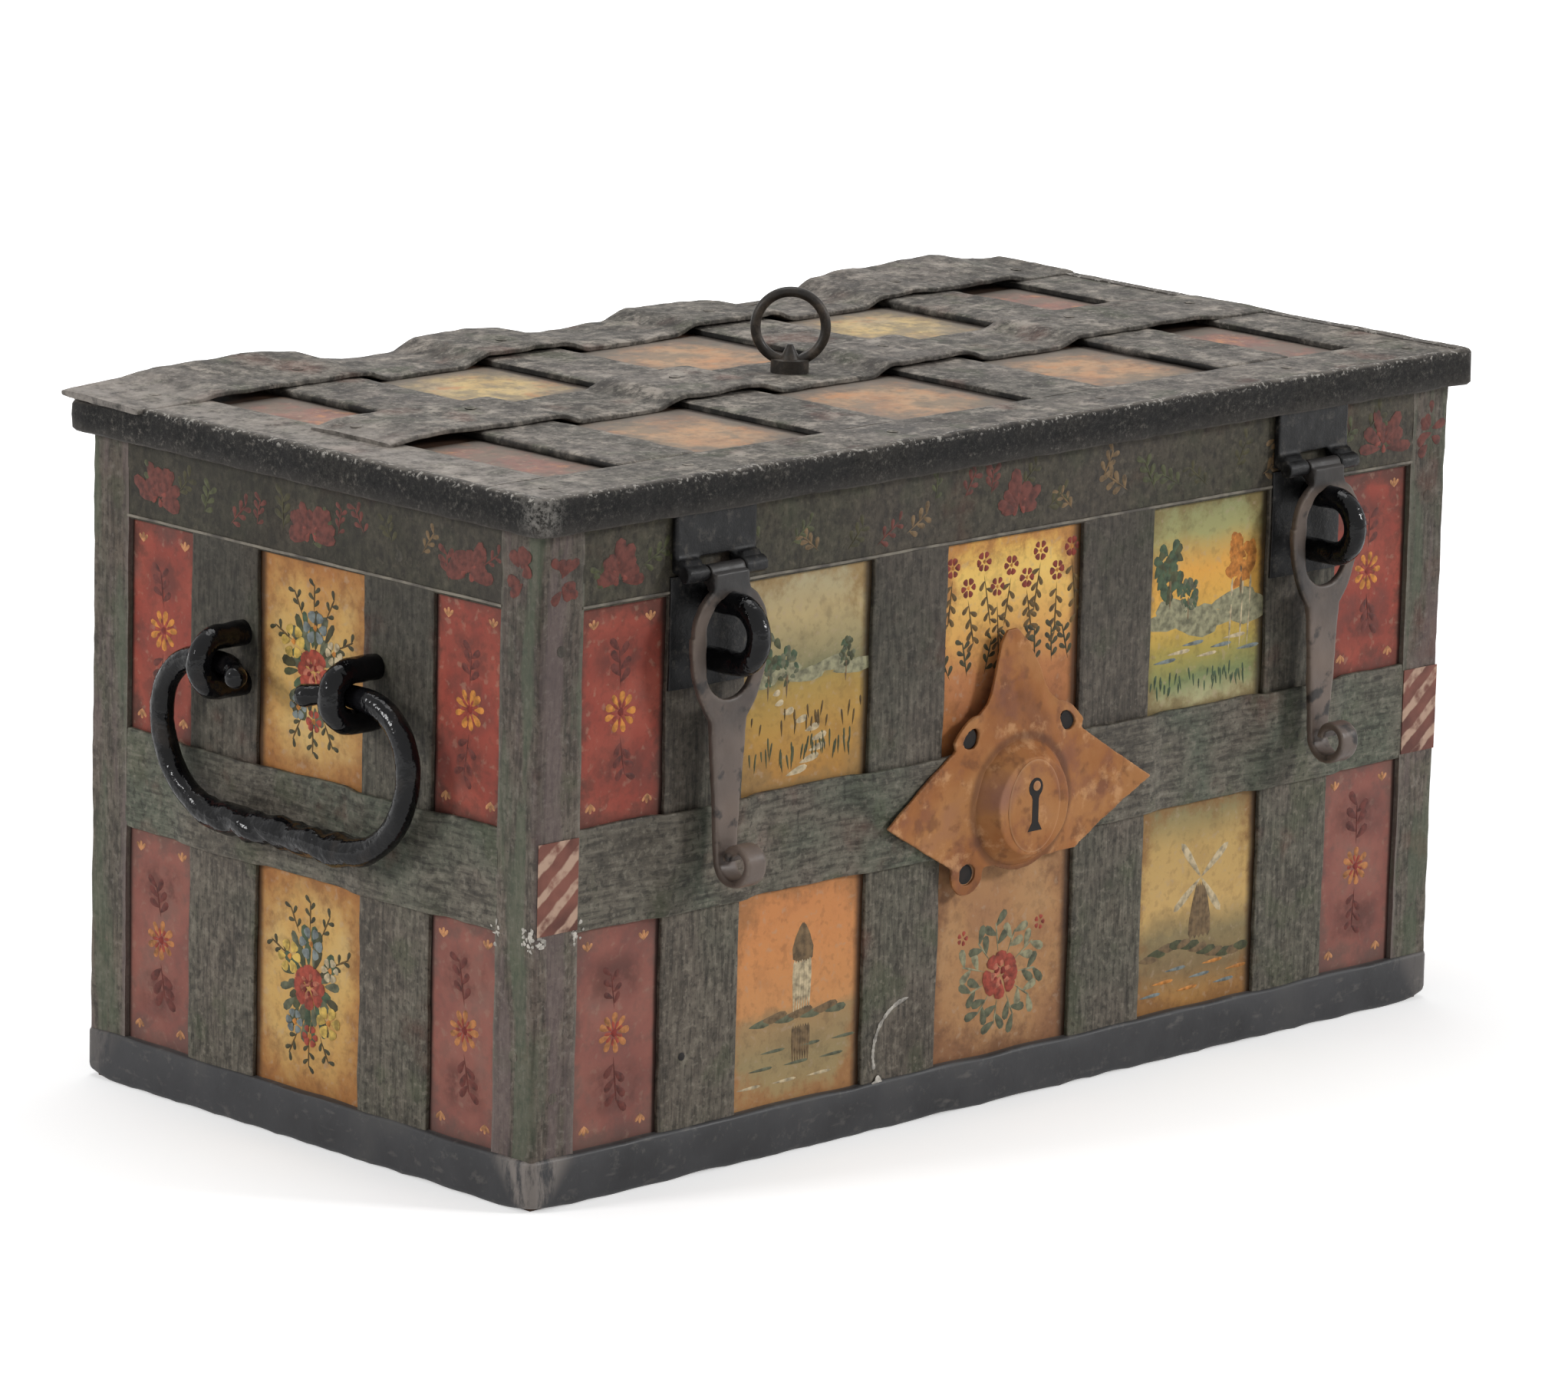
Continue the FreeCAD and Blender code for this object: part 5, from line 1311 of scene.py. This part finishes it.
# Key standing in the lid: a round bow on a collar above a plain shank. Forged iron, black, and browned along
# the bow where hands have turned it.
key_iron = Finish("handled_black_iron", roughness=0.45, shine=0.25)
handled = key_iron.noise(90.0, 6.0, None, 0.65)
key_iron.ground(handled, (0.34, 24, 22, 20), (0.52, 46, 41, 36), (0.7, 86, 76, 66))
key_iron.rough(handled, 0.3, 0.55)
key_iron.relief(handled, 0.0006, 0.6)
dress(key_iron, "key")

# Studio: a pale floor that fades into a white background and keeps the shadow, one strong lamp from the
# right, weak ones from the left and above, and the camera where the photograph was taken.
work = bmesh.new()
bmesh.ops.create_grid(work, x_segments=2, y_segments=2, size=30.0)
floor = placed("floor", meshed("floor", work))
pale = Finish("pale_floor", roughness=0.9)
pale.shader.inputs["Base Color"].default_value = (0.86, 0.86, 0.86, 1.0)
pale.shader.inputs["Emission Color"].default_value = (1.0, 1.0, 1.0, 1.0)
rays = pale.node("ShaderNodeLightPath").outputs
away = pale.node("ShaderNodeVectorMath", {0: pale.place}, operation="LENGTH").outputs["Value"]
seen = pale.math("MAXIMUM", rays["Is Camera Ray"], rays["Is Glossy Ray"])
glow = pale.times(seen, pale.scaled(pale.step(away, 0.5, 2.2), 0.7, 0.42))
pale.tree.links.new(glow, pale.shader.inputs["Emission Strength"])
floor.data.materials.append(pale.material)
scene = bpy.context.scene
scene.world = bpy.data.worlds.new("studio")
scene.world.use_nodes = True
sky = Wiring()
sky.tree = scene.world.node_tree
rays = sky.node("ShaderNodeLightPath").outputs
seen = sky.math("MAXIMUM", rays["Is Camera Ray"], rays["Is Glossy Ray"])
seen = sky.math("MAXIMUM", seen, rays["Is Transmission Ray"])
background = sky.tree.nodes["Background"]
background.inputs["Color"].default_value = (1.0, 1.0, 1.0, 1.0)
sky.tree.links.new(sky.scaled(seen, 0.72, 0.28), background.inputs["Strength"])
for name, spot, aim, size, power in (
        ("right_lamp", (3.6, -4.7, 2.9), (0.0, -0.1, 0.15), 1.1, 190.0),
        ("left_lamp", (-2.5, 0.7, 1.3), (-0.2, 0.0, 0.15), 0.55, 27.0),
        ("top_lamp", (0.1, 0.3, 2.4), (0.0, 0.0, 0.2), 1.4, 22.0)):
    lamp = bpy.data.lights.new(name, "AREA")
    lamp.shape, lamp.size, lamp.energy = "SQUARE", size, power
    holder = placed(name, lamp)
    holder.location = spot
    holder.rotation_euler = (Vector(aim) - Vector(spot)).to_track_quat("-Z", "Y").to_euler()
azimuth, elevation, roll = (math.radians(angle) for angle in (-44.78, 12.60, 1.4446))
level = Vector((math.cos(azimuth), math.sin(azimuth), 0))
back_way = Vector((level.y, -level.x, 0)) * math.cos(elevation) + Vector((0, 0, math.sin(elevation)))
right_way = level * math.cos(roll) + back_way.cross(level) * math.sin(roll)
axes = Matrix((right_way, back_way.cross(right_way), back_way)).transposed().to_4x4()
camera = placed("camera", bpy.data.cameras.new("camera"))
camera.data.lens, camera.data.sensor_width, camera.data.clip_end = 191.2, 36.0, 60.0
camera.matrix_world = Matrix.Translation((-2.5455, -2.5667, 0.9661)) @ axes
scene.camera = camera
scene.view_settings.view_transform = "Standard"
